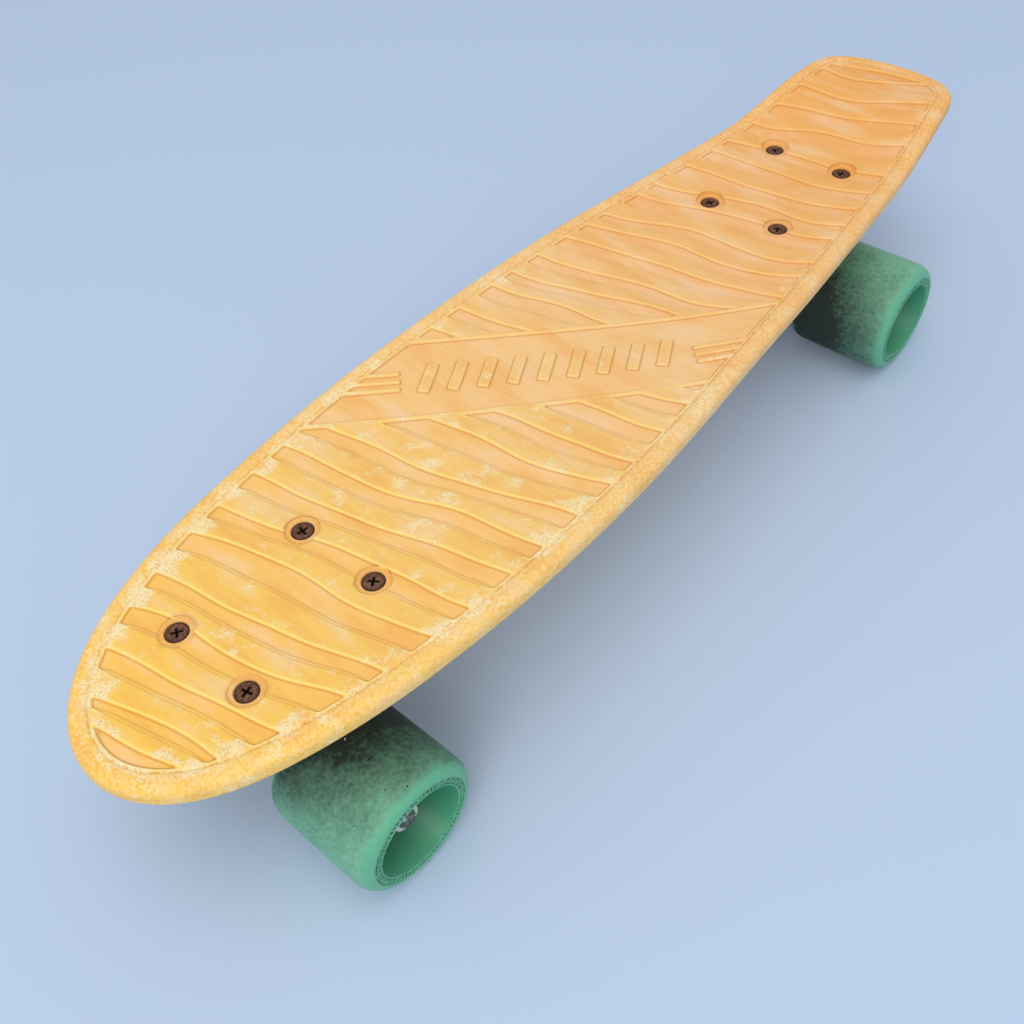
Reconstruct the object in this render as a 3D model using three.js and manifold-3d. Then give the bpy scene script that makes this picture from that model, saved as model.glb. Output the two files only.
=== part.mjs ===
// A small cruiser skateboard: a moulded plastic deck, two cast trucks and four urethane wheels.
// Millimetres. +X points to the nose, +Y to the rider's left and +Z up. The origin is on the
// ground, under the middle of the board's length.
import * as THREE from 'three';
import { mergeVertices } from 'three/addons/utils/BufferGeometryUtils.js';
import Module from 'manifold-3d';

const wasm = await Module();
wasm.setup();

// Deck outline, seen from above
const deckLength = 571.5;
const deckWidth = 147.5;
const noseOverhang = 87.7;
const truckSpacing = 352.6;
const noseRound = 99;
const noseFullness = 2.9;
const tailRound = 30;
const tailFullness = 3.1;
const widthShares = [0.7, 0.78, 0.9, 0.975, 1, 0.98, 0.93, 0.87, 0.795, 0.72, 0.64, 0.52];

// Deck side view
const skinThickness = 4.5;
const archRise = 1.5;
const dishDepth = 7;
const noseDishDepth = 3;
const dishFadeLead = 40;
const dishFadeRun = 120;
const kickRise = 12.8;
const kickLead = 26;
const kickRun = 84;
const noseDrop = 3;
const noseDropLength = 90;

// Deck rim and skirt
const rimWidth = 7.6;
const rimRise = 1.3;
const edgeRound = 4;
const edgeDepth = 9;
const skirtThickness = 3.4;
const ribWidth = 1.8;

// Raised waves on the deck
const waveHeight = 0.9;
const waveFoot = 1.2;
const waveSkew = 34;
const waveSwing = 2.5;
const bandShare = 0.54;

// Each wave's lip by its place along the deck from the nose tip, then by where across the deck, from
// the middle, it swings furthest to the nose and to the tail, and by how far it swings.
const lipShares = [
  0.027, 0.045, 0.075, 0.109, 0.138, 0.18, 0.211, 0.244, 0.277, 0.308, 0.349, 0.378, 0.416, 0.446,
  0.479, 0.518, 0.546, 0.574, 0.606, 0.637, 0.663, 0.704, 0.729, 0.759, 0.792, 0.824, 0.866, 0.896,
  0.926, 0.962, 0.975,
];
const crestShares = [
  0, -0.18, 0.14, 0.09, 0.03, 0.26, -0.34, -0.09, -0.09, 0.03, 0.27, 0.37, 0.41, 0.34, -0.35,
  -0.37, -0.35, -0.31, 0.35, 0.22, 0.24, 0.26, 0.25, 0.22, 0.22, 0.24, 0.17, 0.07, -0.03, -0.08,
  0.16,
];
const troughShares = [
  0.27, 0.05, -0.2, -0.17, -0.31, -0.14, 0.03, 0.24, 0.17, -0.31, -0.11, 0, 0.05, 0, 0, -0.18,
  0.03, -0.07, -0.14, -0.12, -0.08, -0.03, -0.03, -0.29, -0.26, -0.12, -0.03, -0.2, 0.27, 0.24,
  -0.07,
];
const swingShares = [
  0.24, 0.64, 0.2, 0.88, 0.36, 1.2, 0.8, 0.32, 0.72, 0.6, 1.28, 1, 1, 0.12, 0.48, 0.48, 1.36, 0.8,
  1.2, 1.6, 1.92, 1.2, 1.48, 1.32, 1.92, 1.36, 0.92, 0.32, 1.2, 1.6, 0.8,
];

// Smooth diagonal panel with plain bars and stripes
const panelWidth = 50.6;
const panelLead = 5.8;
const panelAngle = THREE.MathUtils.degToRad(-44);
const barCount = 9;
const barPitch = 13.5;
const barLead = 6;
const barWidth = 5;
const barHeight = 18;
const barSlant = THREE.MathUtils.degToRad(18);
const stripeCount = 3;
const stripeLength = 36;
const stripePitch = 5;
const stripeStart = 67;
const stripeRises = [4.5, 1];

// Ribs and truck pads under the deck
const underRibWidth = 2.4;
const underRibPitch = 54;
const underRibSpread = 25;
const longRibInset = 24;
const padThickness = 10;
const padEndMargin = 3;
const padSideMargin = 2.5;

// Bolt pattern and deck bolts
const patternLength = 63.5;
const patternWidth = 41.3;
const boltRadius = 2.4;
const boltLength = 25;
const boltHeadRadius = 4.8;
const boltHeadHeight = 2.8;
const boltNutAcross = 9.5;
const boltNutHeight = 5.5;
const crossWidth = 1.2;
const crossReach = 5.6;
const crossDepth = 1.8;
const counterboreRadius = 7.2;
const counterboreDepth = 0.3;

// Truck
const truckHeight = 50;
const axleSetback = 14.5;
const plateEndMargin = 10.25;
const plateSideMargin = 7.85;
const plateThickness = 6;
const plateCorner = 9;
const webDepth = 9.5;
const webWidth = 16;
const kingLean = THREE.MathUtils.degToRad(15);
const kingFoot = 2;
const kingRadius = 4.7;
const kingHeadDepth = 3;
const kingHeadAcross = 14.3;
const kingHeadHeight = 5.5;
const kingNutAcross = 14.3;
const kingNutHeight = 8;
const kingTip = 2.5;
const kingBossRadius = 13.5;
const kingBossDepth = 16;
const washerThickness = 1.5;
const washerLip = 1.8;
const washerWall = 0.9;
const bushingRadius = 12;
const bushingWaist = 11;
const coneTipRadius = 9.6;
const boardBushingHeight = 13;
const roadBushingHeight = 11;
const ringThickness = 10;
const ringRadius = 15.5;
const ringHoleRadius = 6.4;
const pivotReach = 29;
const pivotDrop = 16;
const pivotBallRadius = 5;
const pivotNeckRadius = 4.8;
const pivotNeckLength = 11;
const cupWall = 2.2;
const cupEnd = 7;
const cupMouth = 4.5;
const housingWall = 2.6;
const armWidth = 14;
const yokeWidth = 26;
const tubeRadius = 9;
const tubeTipRadius = 7.4;
const tubeStraight = 18;
const shoulderRadius = 6;
const shoulderLength = 1.2;

// Axle, wheels and bearings
const hangerWidth = 82.6;
const axleRadius = 3.97;
const axleTip = 1.2;
const axleNutAcross = 12.7;
const axleNutHeight = 6.5;
const speedWasherRadius = 6.2;
const speedWasherThickness = 1;
const bearingOuterRadius = 11;
const bearingWidth = 7;
const bearingShieldInset = 0.5;
const bearingLandOuterRadius = 9.6;
const bearingLandInnerRadius = 6;
const hubWebWidth = 9.4;
const hubWebRadius = 9;
const wheelRadius = 30;
const wheelWidth = 56.2;
const wheelEdgeRound = 8;
const wheelMouthRadius = 20.8;
const wheelFaceRadius = 24.4;
const wheelLipRadius = 13;

// Clearances and how finely round shapes are divided
const fitGap = 0.3;
const overrun = 4;
const bond = 0.6;
const outlineSteps = 30;
const waveSteps = 7;
const longRibRuns = 16;
const wheelSides = 24;
const roundSides = 16;
const smallSides = 10;

// Places that follow from the sizes above
const noseX = deckLength / 2;
const tailX = -deckLength / 2;
const frontX = noseX - noseOverhang;
const rearX = frontX - truckSpacing;
const middleX = (frontX + rearX) / 2;
const mountZ = wheelRadius + truckHeight;
const fieldZ = mountZ + fitGap + padThickness;
const ribInset = rimWidth + ribWidth;
const boltHeadZ = fieldZ - counterboreDepth;
const plateLength = patternLength + 2 * plateEndMargin;
const plateWidth = patternWidth + 2 * plateSideMargin;
const padLength = plateLength + 2 * padEndMargin;
const padWidth = plateWidth + 2 * padSideMargin;

// Solids

function toSolid(geometry) {
  const bare = geometry.index ? geometry.toNonIndexed() : geometry.clone();
  bare.deleteAttribute('normal');
  bare.deleteAttribute('uv');
  const merged = mergeVertices(bare, 1e-4);
  const mesh = new wasm.Mesh({
    numProp: 3,
    vertProperties: new Float32Array(merged.attributes.position.array),
    triVerts: new Uint32Array(merged.index.array),
  });
  return new wasm.Manifold(mesh);
}

function toGeometry(solid) {
  const mesh = solid.getMesh();
  const geometry = new THREE.BufferGeometry();
  geometry.setAttribute('position', new THREE.BufferAttribute(mesh.vertProperties, 3));
  geometry.setIndex(new THREE.BufferAttribute(mesh.triVerts, 1));
  const flat = geometry.toNonIndexed();
  flat.computeVertexNormals();
  return flat;
}

function joinAll(solids) {
  return solids.reduce((whole, solid) => whole.add(solid));
}

function cutAll(body, cutters) {
  return cutters.reduce((whole, cutter) => whole.subtract(cutter), body);
}

// A closed profile of [radius, height] pairs turned round the Z axis.
function turned(profile, sides) {
  const points = profile.map(([radius, height]) => new THREE.Vector2(radius, height));
  const geometry = new THREE.LatheGeometry(points, sides, Math.PI / sides);
  geometry.rotateX(Math.PI / 2);
  return geometry;
}

function rod(radius, low, high, sides) {
  return turned([[0, low], [radius, low], [radius, high], [0, high]], sides);
}

// A side-view outline in X and Z, given thickness evenly to both sides of the centre plane.
function sideSlab(points, width) {
  const shape = new THREE.Shape(points);
  const geometry = new THREE.ExtrudeGeometry(shape, { depth: width, bevelEnabled: false });
  geometry.rotateX(Math.PI / 2);
  geometry.translate(0, width / 2, 0);
  return geometry;
}

// A plan outline in X and Y, raised from one height to another.
function plateBetween(shape, low, high, curveSegments) {
  const options = { depth: high - low, bevelEnabled: false, curveSegments };
  const geometry = new THREE.ExtrudeGeometry(shape, options);
  geometry.translate(0, 0, low);
  return geometry;
}

function roundedRectangle(length, width, corner) {
  const x = length / 2;
  const y = width / 2;
  const shape = new THREE.Shape();
  shape.moveTo(x, -y + corner);
  shape.lineTo(x, y - corner);
  shape.absarc(x - corner, y - corner, corner, 0, Math.PI / 2);
  shape.absarc(-x + corner, y - corner, corner, Math.PI / 2, Math.PI);
  shape.absarc(-x + corner, -y + corner, corner, Math.PI, 1.5 * Math.PI);
  shape.absarc(x - corner, -y + corner, corner, 1.5 * Math.PI, 2 * Math.PI);
  return shape;
}

function hexagon(across) {
  const radius = across / 2 / Math.cos(Math.PI / 6);
  const corners = [];
  for (let i = 0; i < 6; i += 1) {
    const angle = (i * Math.PI) / 3;
    corners.push(new THREE.Vector2(radius * Math.cos(angle), radius * Math.sin(angle)));
  }
  return new THREE.Shape(corners);
}

function hexNut(across, height, holeRadius) {
  const nut = toSolid(plateBetween(hexagon(across), 0, height));
  const hole = toSolid(rod(holeRadius, -overrun, height + overrun, smallSides));
  return toGeometry(nut.subtract(hole));
}

// Deck outline and surface

const widthCurve = new THREE.SplineCurve(
  widthShares.map((share, i) => {
    const along = (i / (widthShares.length - 1)) * deckLength;
    return new THREE.Vector2(along, (share * deckWidth) / 2);
  }),
);

function endShare(distance, round, fullness) {
  if (distance >= round) {
    return 1;
  }
  const near = 1 - Math.max(distance, 0) / round;
  return Math.sqrt(1 - near ** fullness);
}

// The left half of the outline, from the nose tip to the tail's end.
function halfOutline() {
  const points = [];
  for (let i = 0; i <= outlineSteps; i += 1) {
    const share = (1 - Math.cos((Math.PI * i) / outlineSteps)) / 2;
    const { x: along, y: width } = widthCurve.getPoint(share);
    const nose = endShare(along, noseRound, noseFullness);
    const tail = endShare(deckLength - along, tailRound, tailFullness);
    points.push(new THREE.Vector2(noseX - along, width * nose * tail));
  }
  return points;
}

// A loop inside the outline, from the nose tip round by the left side and back by the right.
function insetLoop(inset) {
  const half = halfOutline();
  const left = half.map((point, i) => {
    if (i === 0) {
      return new THREE.Vector2(point.x - inset, 0);
    }
    if (i === outlineSteps) {
      return new THREE.Vector2(point.x + inset, 0);
    }
    const along = half[i + 1].clone().sub(half[i - 1]).normalize();
    return new THREE.Vector2(point.x - along.y * inset, point.y + along.x * inset);
  });
  const right = left.slice(1, -1).reverse().map(({ x, y }) => new THREE.Vector2(x, -y));
  return [...left, ...right];
}

function smooth(share) {
  const held = THREE.MathUtils.clamp(share, 0, 1);
  return held * held * (3 - 2 * held);
}

function archAt(x) {
  const halfSpan = (truckSpacing - patternLength) / 2;
  const share = Math.min(Math.abs(x - middleX) / halfSpan, 1);
  return archRise * Math.cos((share * Math.PI) / 2) ** 2;
}

function kickAt(x) {
  return kickRise * smooth((rearX - kickLead - x) / kickRun);
}

function dropAt(x) {
  const run = Math.max(x - noseX + noseDropLength, 0);
  return noseDrop * (run / noseDropLength) ** 2;
}

// The deck is dished across its width, deeper behind its middle than towards the nose.
function dishAt(x, y) {
  const rearward = smooth((middleX + dishFadeLead - x) / dishFadeRun);
  const depth = noseDishDepth + (dishDepth - noseDishDepth) * rearward;
  return depth * ((2 * y) / deckWidth) ** 2;
}

function fieldAt(x, y) {
  return fieldZ + archAt(x) + kickAt(x) - dropAt(x) + dishAt(x, y);
}

// Deck

const capShares = [0.25, 0.5, 0.75];

// Closed solid over nested loops: the first and last loops are closed by a cap across the deck.
function loopLoft(rings) {
  const positions = [];
  const count = 2 * outlineSteps;
  const faces = [];
  rings.forEach(({ inset, rise }) => {
    insetLoop(inset).forEach(({ x, y }) => positions.push(x, y, fieldAt(x, y) + rise));
  });
  for (let r = 0; r + 1 < rings.length; r += 1) {
    for (let i = 0; i < count; i += 1) {
      const a = r * count + i;
      const b = r * count + ((i + 1) % count);
      faces.push([a, a + count, b], [b, a + count, b + count]);
    }
  }
  addCap(positions, faces, rings[0], 0, true);
  addCap(positions, faces, rings.at(-1), (rings.length - 1) * count, false);
  const geometry = new THREE.BufferGeometry();
  geometry.setAttribute('position', new THREE.Float32BufferAttribute(positions, 3));
  geometry.setIndex(faces.flat());
  return geometry;
}

function addCap(positions, faces, { inset, rise }, first, facesUp) {
  const loop = insetLoop(inset);
  const count = loop.length;
  const rows = loop.slice(0, outlineSteps + 1).map((left, i) => {
    if (i === 0 || i === outlineSteps) {
      return [first + i];
    }
    const inner = capShares.map((share) => {
      const y = left.y * (1 - 2 * share);
      positions.push(left.x, y, fieldAt(left.x, y) + rise);
      return positions.length / 3 - 1;
    });
    return [first + i, ...inner, first + count - i];
  });
  const add = (a, b, c) => faces.push(facesUp ? [a, b, c] : [a, c, b]);
  for (let i = 0; i < outlineSteps; i += 1) {
    const row = rows[i];
    const next = rows[i + 1];
    for (let j = 0; j + 1 < Math.max(row.length, next.length); j += 1) {
      if (row.length > 1) {
        add(row[j], next[Math.min(j, next.length - 1)], row[j + 1]);
      }
      if (next.length > 1) {
        add(row[Math.min(j + 1, row.length - 1)], next[j], next[j + 1]);
      }
    }
  }
}

// The moulded shell: a flat field, a thin rib round it, a rolled rim and a skirt below.
function deckShell() {
  const bottom = rimRise - edgeDepth;
  return toSolid(loopLoft([
    { inset: ribInset + waveHeight / 2, rise: 0 },
    { inset: ribInset, rise: waveHeight },
    { inset: (rimWidth + edgeRound) / 2, rise: rimRise },
    { inset: edgeRound / 2, rise: rimRise - edgeRound / 4 },
    { inset: edgeRound / 8, rise: rimRise - edgeRound },
    { inset: 0, rise: (rimRise - edgeRound + bottom) / 2 },
    { inset: skirtThickness / 3, rise: bottom },
    { inset: skirtThickness, rise: bottom },
    { inset: skirtThickness, rise: -skinThickness },
  ]));
}

// A closed bar through cross-sections of four corners each, given one section after another.
function stripSolid(positions, sections) {
  const faces = [[0, 3, 2], [0, 2, 1]];
  for (let i = 0; i + 1 < sections; i += 1) {
    for (let k = 0; k < 4; k += 1) {
      const a = 4 * i + k;
      const b = 4 * i + ((k + 1) % 4);
      faces.push([a, b, a + 4], [b, b + 4, a + 4]);
    }
  }
  const end = 4 * (sections - 1);
  faces.push([end, end + 1, end + 2], [end, end + 2, end + 3]);
  const geometry = new THREE.BufferGeometry();
  geometry.setAttribute('position', new THREE.Float32BufferAttribute(positions, 3));
  geometry.setIndex(faces.flat());
  return toSolid(geometry);
}

// A raised strip on the deck between two lines of plan points, with a sloping foot on one side.
function reliefStrip(front, back, height, foot) {
  const positions = [];
  const sink = bond + dishDepth / 4;
  front.forEach((line, i) => {
    const rear = back[i];
    const outward = rear.clone().sub(line).normalize().multiplyScalar(foot);
    const toe = rear.clone().add(outward);
    positions.push(line.x, line.y, fieldAt(line.x, line.y) - sink);
    positions.push(line.x, line.y, fieldAt(line.x, line.y) + height);
    positions.push(rear.x, rear.y, fieldAt(rear.x, rear.y) + height);
    positions.push(toe.x, toe.y, fieldAt(toe.x, toe.y) - sink);
  });
  return stripSolid(positions, front.length);
}

// One wave's lip, the edge on its nose side.
function waveLip(place, number) {
  const crest = crestShares[number];
  const trough = troughShares[number];
  const points = [];
  for (let i = 0; i <= waveSteps; i += 1) {
    const across = 0.5 - i / waveSteps;
    const turn = (Math.PI * (across - crest)) / (trough - crest);
    const swing = waveSwing * swingShares[number] * Math.cos(turn);
    const x = noseX - place * deckLength - waveSkew * across + swing;
    points.push(new THREE.Vector2(x, across * deckWidth));
  }
  return points;
}

// Each wave is raised from its lip part of the way to the next lip. The last one runs under the rim.
function deckWaves() {
  const lips = lipShares.map(waveLip);
  const afterLast = lips.at(-1).map((point, i) => point.clone().multiplyScalar(2).sub(lips.at(-2)[i]));
  const waves = lips.map((lip, number) => {
    const next = lips[number + 1] ?? afterLast;
    const back = lip.map((point, i) => point.clone().lerp(next[i], bandShare));
    return reliefStrip(lip, back, waveHeight, waveFoot);
  });
  return joinAll(waves);
}

// A straight strip in the panel's own directions: along it, and across it.
function panelStrip(along, across, length, width, slant) {
  const turn = new THREE.Vector2(Math.cos(panelAngle), Math.sin(panelAngle));
  const side = new THREE.Vector2(-turn.y, turn.x);
  const centre = new THREE.Vector2(middleX + panelLead, 0);
  centre.addScaledVector(turn, along).addScaledVector(side, across);
  const run = turn.clone().rotateAround(new THREE.Vector2(), slant);
  const out = new THREE.Vector2(-run.y, run.x).multiplyScalar(width / 2);
  const ends = [-length / 2, length / 2].map((s) => centre.clone().addScaledVector(run, s));
  const front = ends.map((end) => end.clone().add(out));
  const back = ends.map((end) => end.clone().sub(out));
  return [front, back];
}

function panelPrism(width) {
  const box = new THREE.BoxGeometry(2 * deckWidth, width, 2 * fieldZ);
  box.rotateZ(panelAngle);
  box.translate(middleX + panelLead, 0, fieldZ);
  return toSolid(box);
}

// Two ribs along the panel's edges, each in short runs so that it follows the deck.
function panelRibs() {
  const runs = waveSteps;
  const reach = deckWidth;
  return [-1, 1].map((side) => {
    const across = (side * (panelWidth - ribWidth)) / 2;
    const front = [];
    const back = [];
    for (let i = 0; i <= runs; i += 1) {
      const along = (i / runs - 0.5) * 2 * reach;
      const [[a], [b]] = panelStrip(along, across, 0, ribWidth, 0);
      front.push(a);
      back.push(b);
    }
    return reliefStrip(front, back, waveHeight, 0);
  });
}

function barAt(i) {
  const along = barLead + (i - (barCount - 1) / 2) * barPitch;
  return panelStrip(along, 0, barHeight, barWidth, Math.PI / 2 - barSlant);
}

function barsInPanel() {
  const bars = [];
  for (let i = 0; i < barCount; i += 1) {
    const [front, back] = barAt(i);
    const isMiddle = i === (barCount - 1) / 2;
    bars.push(isMiddle ? levelBar(front, back) : reliefStrip(front, back, waveHeight, 0));
  }
  return bars;
}

// The middle bar's top is level, so that a thing can rest on it.
function levelBar(front, back) {
  const corners = [front[0], front[1], back[1], back[0]];
  const middle = corners.reduce((sum, c) => sum.add(c), new THREE.Vector2()).divideScalar(4);
  const top = fieldAt(middle.x, middle.y) + waveHeight;
  return toSolid(plateBetween(new THREE.Shape(corners), top - waveHeight - bond, top));
}

function panelStripes() {
  const reach = stripeStart + stripeLength / 2;
  const stripes = [];
  for (const [number, end] of [-1, 1].entries()) {
    for (let i = 0; i < stripeCount; i += 1) {
      const across = stripeRises[number] + (i - (stripeCount - 1) / 2) * stripePitch;
      const [front, back] = panelStrip(barLead + end * reach, across, stripeLength, ribWidth, 0);
      stripes.push(reliefStrip(front, back, waveHeight, 0));
    }
  }
  return joinAll(stripes);
}

function fieldPrism(inset) {
  return toSolid(plateBetween(new THREE.Shape(insetLoop(inset)), 0, 2 * fieldZ));
}

function deckRelief() {
  const field = fieldPrism(ribInset - ribWidth / 4);
  const waves = deckWaves().subtract(panelPrism(panelWidth - ribWidth)).intersect(field);
  const ribs = joinAll(panelRibs()).intersect(field);
  const stripes = panelStripes().intersect(field);
  return joinAll([waves, ribs, stripes, ...barsInPanel()]);
}

// One rib under the skin along a line of plan points, down to near the skirt's lower edge.
function underRib(line) {
  const positions = [];
  const faces = [];
  const across = line[1].clone().sub(line[0]).normalize().multiplyScalar(underRibWidth / 2);
  for (const { x, y } of line) {
    for (const side of [1, -1]) {
      const sideX = x - side * across.y;
      const sideY = y + side * across.x;
      const top = fieldAt(x, y) - skinThickness / 2;
      const bottom = fieldAt(x, y) + rimRise + bond - edgeDepth;
      const heights = side === 1 ? [bottom, top] : [top, bottom];
      heights.forEach((z) => positions.push(sideX, sideY, z));
    }
  }
  return stripSolid(positions, line.length);
}

function halfWidthAt(x) {
  const along = noseX - x;
  const { y: width } = widthCurve.getPoint(along / deckLength);
  const nose = endShare(along, noseRound, noseFullness);
  const tail = endShare(deckLength - along, tailRound, tailFullness);
  return width * nose * tail;
}

function underRibs() {
  const ribs = [];
  for (const side of [-1, 1]) {
    const line = [];
    for (let i = 0; i <= longRibRuns; i += 1) {
      const along = (i / longRibRuns) * (deckLength - 2 * longRibInset) + tailX + longRibInset;
      line.push(new THREE.Vector2(along, side * underRibSpread));
    }
    ribs.push(underRib(line));
  }
  const first = Math.ceil((tailX + longRibInset - middleX) / underRibPitch);
  const last = Math.floor((noseX - longRibInset - middleX) / underRibPitch);
  for (let i = first; i <= last; i += 1) {
    ribs.push(crossRib(middleX + i * underRibPitch));
  }
  return joinAll(ribs);
}

function crossRib(x) {
  const reach = halfWidthAt(x) - skirtThickness + bond;
  const line = [-1, -0.5, 0, 0.5, 1].map((share) => new THREE.Vector2(x, share * reach));
  return underRib(line);
}

// A pad for one truck, which reaches up into the skin at both of its ends.
function truckPad(x) {
  const shape = roundedRectangle(padLength, padWidth, plateCorner);
  const ends = [x - padLength / 2, x + padLength / 2];
  const top = Math.min(...ends.map((end) => fieldAt(end, 0))) - bond;
  const pad = plateBetween(shape, mountZ + fitGap, top, 3);
  return toSolid(pad.translate(x, 0, 0));
}

function boltPlaces(x) {
  const places = [];
  for (const along of [1, -1]) {
    for (const side of [1, -1]) {
      places.push([x + (along * patternLength) / 2, (side * patternWidth) / 2]);
    }
  }
  return places;
}

// Counterbore, countersink and through hole for one deck bolt, in one cutter.
function boltCutter([x, y]) {
  const hole = boltRadius + fitGap;
  const sink = boltHeadRadius + fitGap;
  const cutter = turned([
    [0, mountZ - overrun],
    [hole, mountZ - overrun],
    [hole, boltHeadZ - boltHeadHeight],
    [sink, boltHeadZ],
    [counterboreRadius, boltHeadZ],
    [counterboreRadius, fieldZ + overrun],
    [0, fieldZ + overrun],
  ], smallSides);
  return toSolid(cutter.translate(x, y, 0));
}

function deckGeometry() {
  const pads = [frontX, rearX].map(truckPad);
  const body = joinAll([deckShell(), underRibs(), ...pads, deckRelief()]);
  const holes = [frontX, rearX].flatMap(boltPlaces).map(boltCutter);
  return toGeometry(cutAll(body, holes));
}

// Deck bolts and nuts

function boltGeometry() {
  const shank = turned([
    [0, -boltLength],
    [boltRadius, -boltLength],
    [boltRadius, -boltHeadHeight],
    [boltHeadRadius, -boltHeadHeight / 8],
    [boltHeadRadius, 0],
    [0, 0],
  ], smallSides);
  const cuts = [[crossReach, crossWidth], [crossWidth, crossReach]].map(([length, width]) => {
    const slot = new THREE.BoxGeometry(length, width, 2 * crossDepth);
    return toSolid(slot);
  });
  return toGeometry(cutAll(toSolid(shank), cuts));
}

// Truck: places in the side view, from the bolt pattern's centre on the mounting face

const axlePlace = new THREE.Vector2(axleSetback, -truckHeight);
const kingDown = new THREE.Vector2(-Math.sin(kingLean), -Math.cos(kingLean));
const kingOut = new THREE.Vector2(Math.cos(kingLean), -Math.sin(kingLean));
const boardWasherStart = kingBossDepth + fitGap;
const boardBushingStart = boardWasherStart + washerThickness + fitGap;
const ringStart = boardBushingStart + boardBushingHeight + fitGap;
const ringEnd = ringStart + ringThickness;
const roadBushingStart = ringEnd + fitGap;
const roadWasherStart = roadBushingStart + roadBushingHeight + fitGap;
const roadWasherEnd = roadWasherStart + washerThickness;
const kingNutStart = roadWasherEnd + fitGap;
const kingLength = kingNutStart + kingNutHeight + kingTip;

// A place by its depth along the kingpin and its distance out from it.
function kingPlace(depth, out) {
  const foot = new THREE.Vector2(kingFoot, 0);
  return foot.addScaledVector(kingDown, depth).addScaledVector(kingOut, out);
}

const ringCentre = kingPlace((ringStart + ringEnd) / 2, 0);
const pivotPlace = new THREE.Vector2(pivotReach, -pivotDrop);
const steerAxis = pivotPlace.clone().sub(ringCentre).normalize();
const steerUp = new THREE.Vector2(-steerAxis.y, steerAxis.x);

// A place by its distance along the steering axis past the pivot, and above that axis.
function pivotAt(along, above) {
  return pivotPlace.clone().addScaledVector(steerAxis, along).addScaledVector(steerUp, above);
}

// Turns a solid made along +Z to lie along a side-view direction through a side-view place.
function laidAlong(geometry, direction, place) {
  const angle = Math.atan2(direction.x, direction.y);
  const laid = geometry.clone();
  laid.rotateY(angle);
  laid.translate(place.x, 0, place.y);
  return laid;
}

function alongKing(geometry) {
  return laidAlong(geometry, kingDown, kingPlace(0, 0));
}

function alongPivot(geometry) {
  return laidAlong(geometry, steerAxis, pivotPlace);
}

function baseplateGeometry() {
  const cupRadius = pivotBallRadius + cupWall + 2 * fitGap;
  const plate = plateBetween(
    roundedRectangle(plateLength, plateWidth, plateCorner), -plateThickness, 0, 3,
  );
  const boss = alongKing(rod(kingBossRadius, plateThickness, kingBossDepth, roundSides));
  const housingRadius = cupRadius + housingWall;
  const housing = alongPivot(rod(housingRadius, -cupMouth, cupEnd + housingWall, roundSides));
  const web = new THREE.BoxGeometry(pivotReach - kingFoot, webWidth, webDepth - bond);
  web.translate((pivotReach + kingFoot) / 2, 0, -(webDepth + bond) / 2);
  const pocket = alongKing(
    plateBetween(hexagon(kingHeadAcross + 2 * fitGap), -overrun, kingHeadDepth + kingHeadHeight),
  );
  const shaft = alongKing(
    rod(kingRadius + fitGap, -overrun, kingBossDepth + overrun, roundSides),
  );
  const cup = alongPivot(rod(cupRadius, -cupMouth - 2 * overrun, cupEnd + fitGap, roundSides));
  const cutters = [pocket, shaft, cup].map(toSolid);
  for (const [x, y] of boltPlaces(0)) {
    const hole = rod(boltRadius + fitGap, -plateThickness - overrun, overrun, smallSides);
    cutters.push(toSolid(hole.translate(x, y, 0)));
  }
  return toGeometry(cutAll(joinAll([plate, boss, housing, web].map(toSolid)), cutters));
}

function kingpinGeometry() {
  const headEnd = kingHeadDepth + kingHeadHeight - fitGap;
  const head = plateBetween(hexagon(kingHeadAcross), kingHeadDepth, headEnd);
  const shank = rod(kingRadius, kingHeadDepth + bond, kingLength, smallSides);
  return toGeometry(joinAll([head, shank].map(toSolid)));
}

// A dished washer whose lip stands round the bushing's end.
function cupWasherGeometry(endRadius) {
  const hole = kingRadius + fitGap;
  const seat = endRadius + fitGap;
  return turned([
    [hole, 0],
    [seat + washerWall, 0],
    [seat + washerWall, washerThickness + washerLip],
    [seat, washerThickness + washerLip],
    [seat, washerThickness],
    [hole, washerThickness],
    [hole, 0],
  ], roundSides);
}

function boardBushingGeometry() {
  const hole = kingRadius + fitGap;
  return turned([
    [hole, 0],
    [bushingRadius, 0],
    [bushingWaist, boardBushingHeight / 2],
    [bushingRadius, boardBushingHeight],
    [hole, boardBushingHeight],
    [hole, 0],
  ], roundSides);
}

function roadBushingGeometry() {
  const hole = kingRadius + fitGap;
  return turned([
    [hole, 0],
    [bushingRadius, 0],
    [bushingRadius, roadBushingHeight / 3],
    [coneTipRadius, roadBushingHeight - washerLip - fitGap],
    [coneTipRadius, roadBushingHeight],
    [hole, roadBushingHeight],
    [hole, 0],
  ], roundSides);
}

// The cup is closed at its far end and holds the pivot's ball.
function pivotCupGeometry() {
  const inner = pivotBallRadius + fitGap;
  const outer = inner + cupWall;
  return turned([
    [outer, -cupMouth],
    [outer, cupEnd],
    [0, cupEnd],
    [0, inner],
    [inner * Math.SQRT1_2, inner * Math.SQRT1_2],
    [inner, 0],
    [inner, -cupMouth],
    [outer, -cupMouth],
  ], roundSides);
}

function hangerTube() {
  const end = hangerWidth / 2;
  const half = [
    [tubeRadius, tubeStraight],
    [tubeTipRadius, end - shoulderLength],
    [shoulderRadius, end - shoulderLength],
    [shoulderRadius, end],
    [0, end],
  ];
  const mirrored = half.map(([radius, height]) => [radius, -height]).reverse();
  const tube = turned([...mirrored, ...half], roundSides);
  tube.rotateX(Math.PI / 2);
  return tube.translate(axlePlace.x, 0, axlePlace.y);
}

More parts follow.
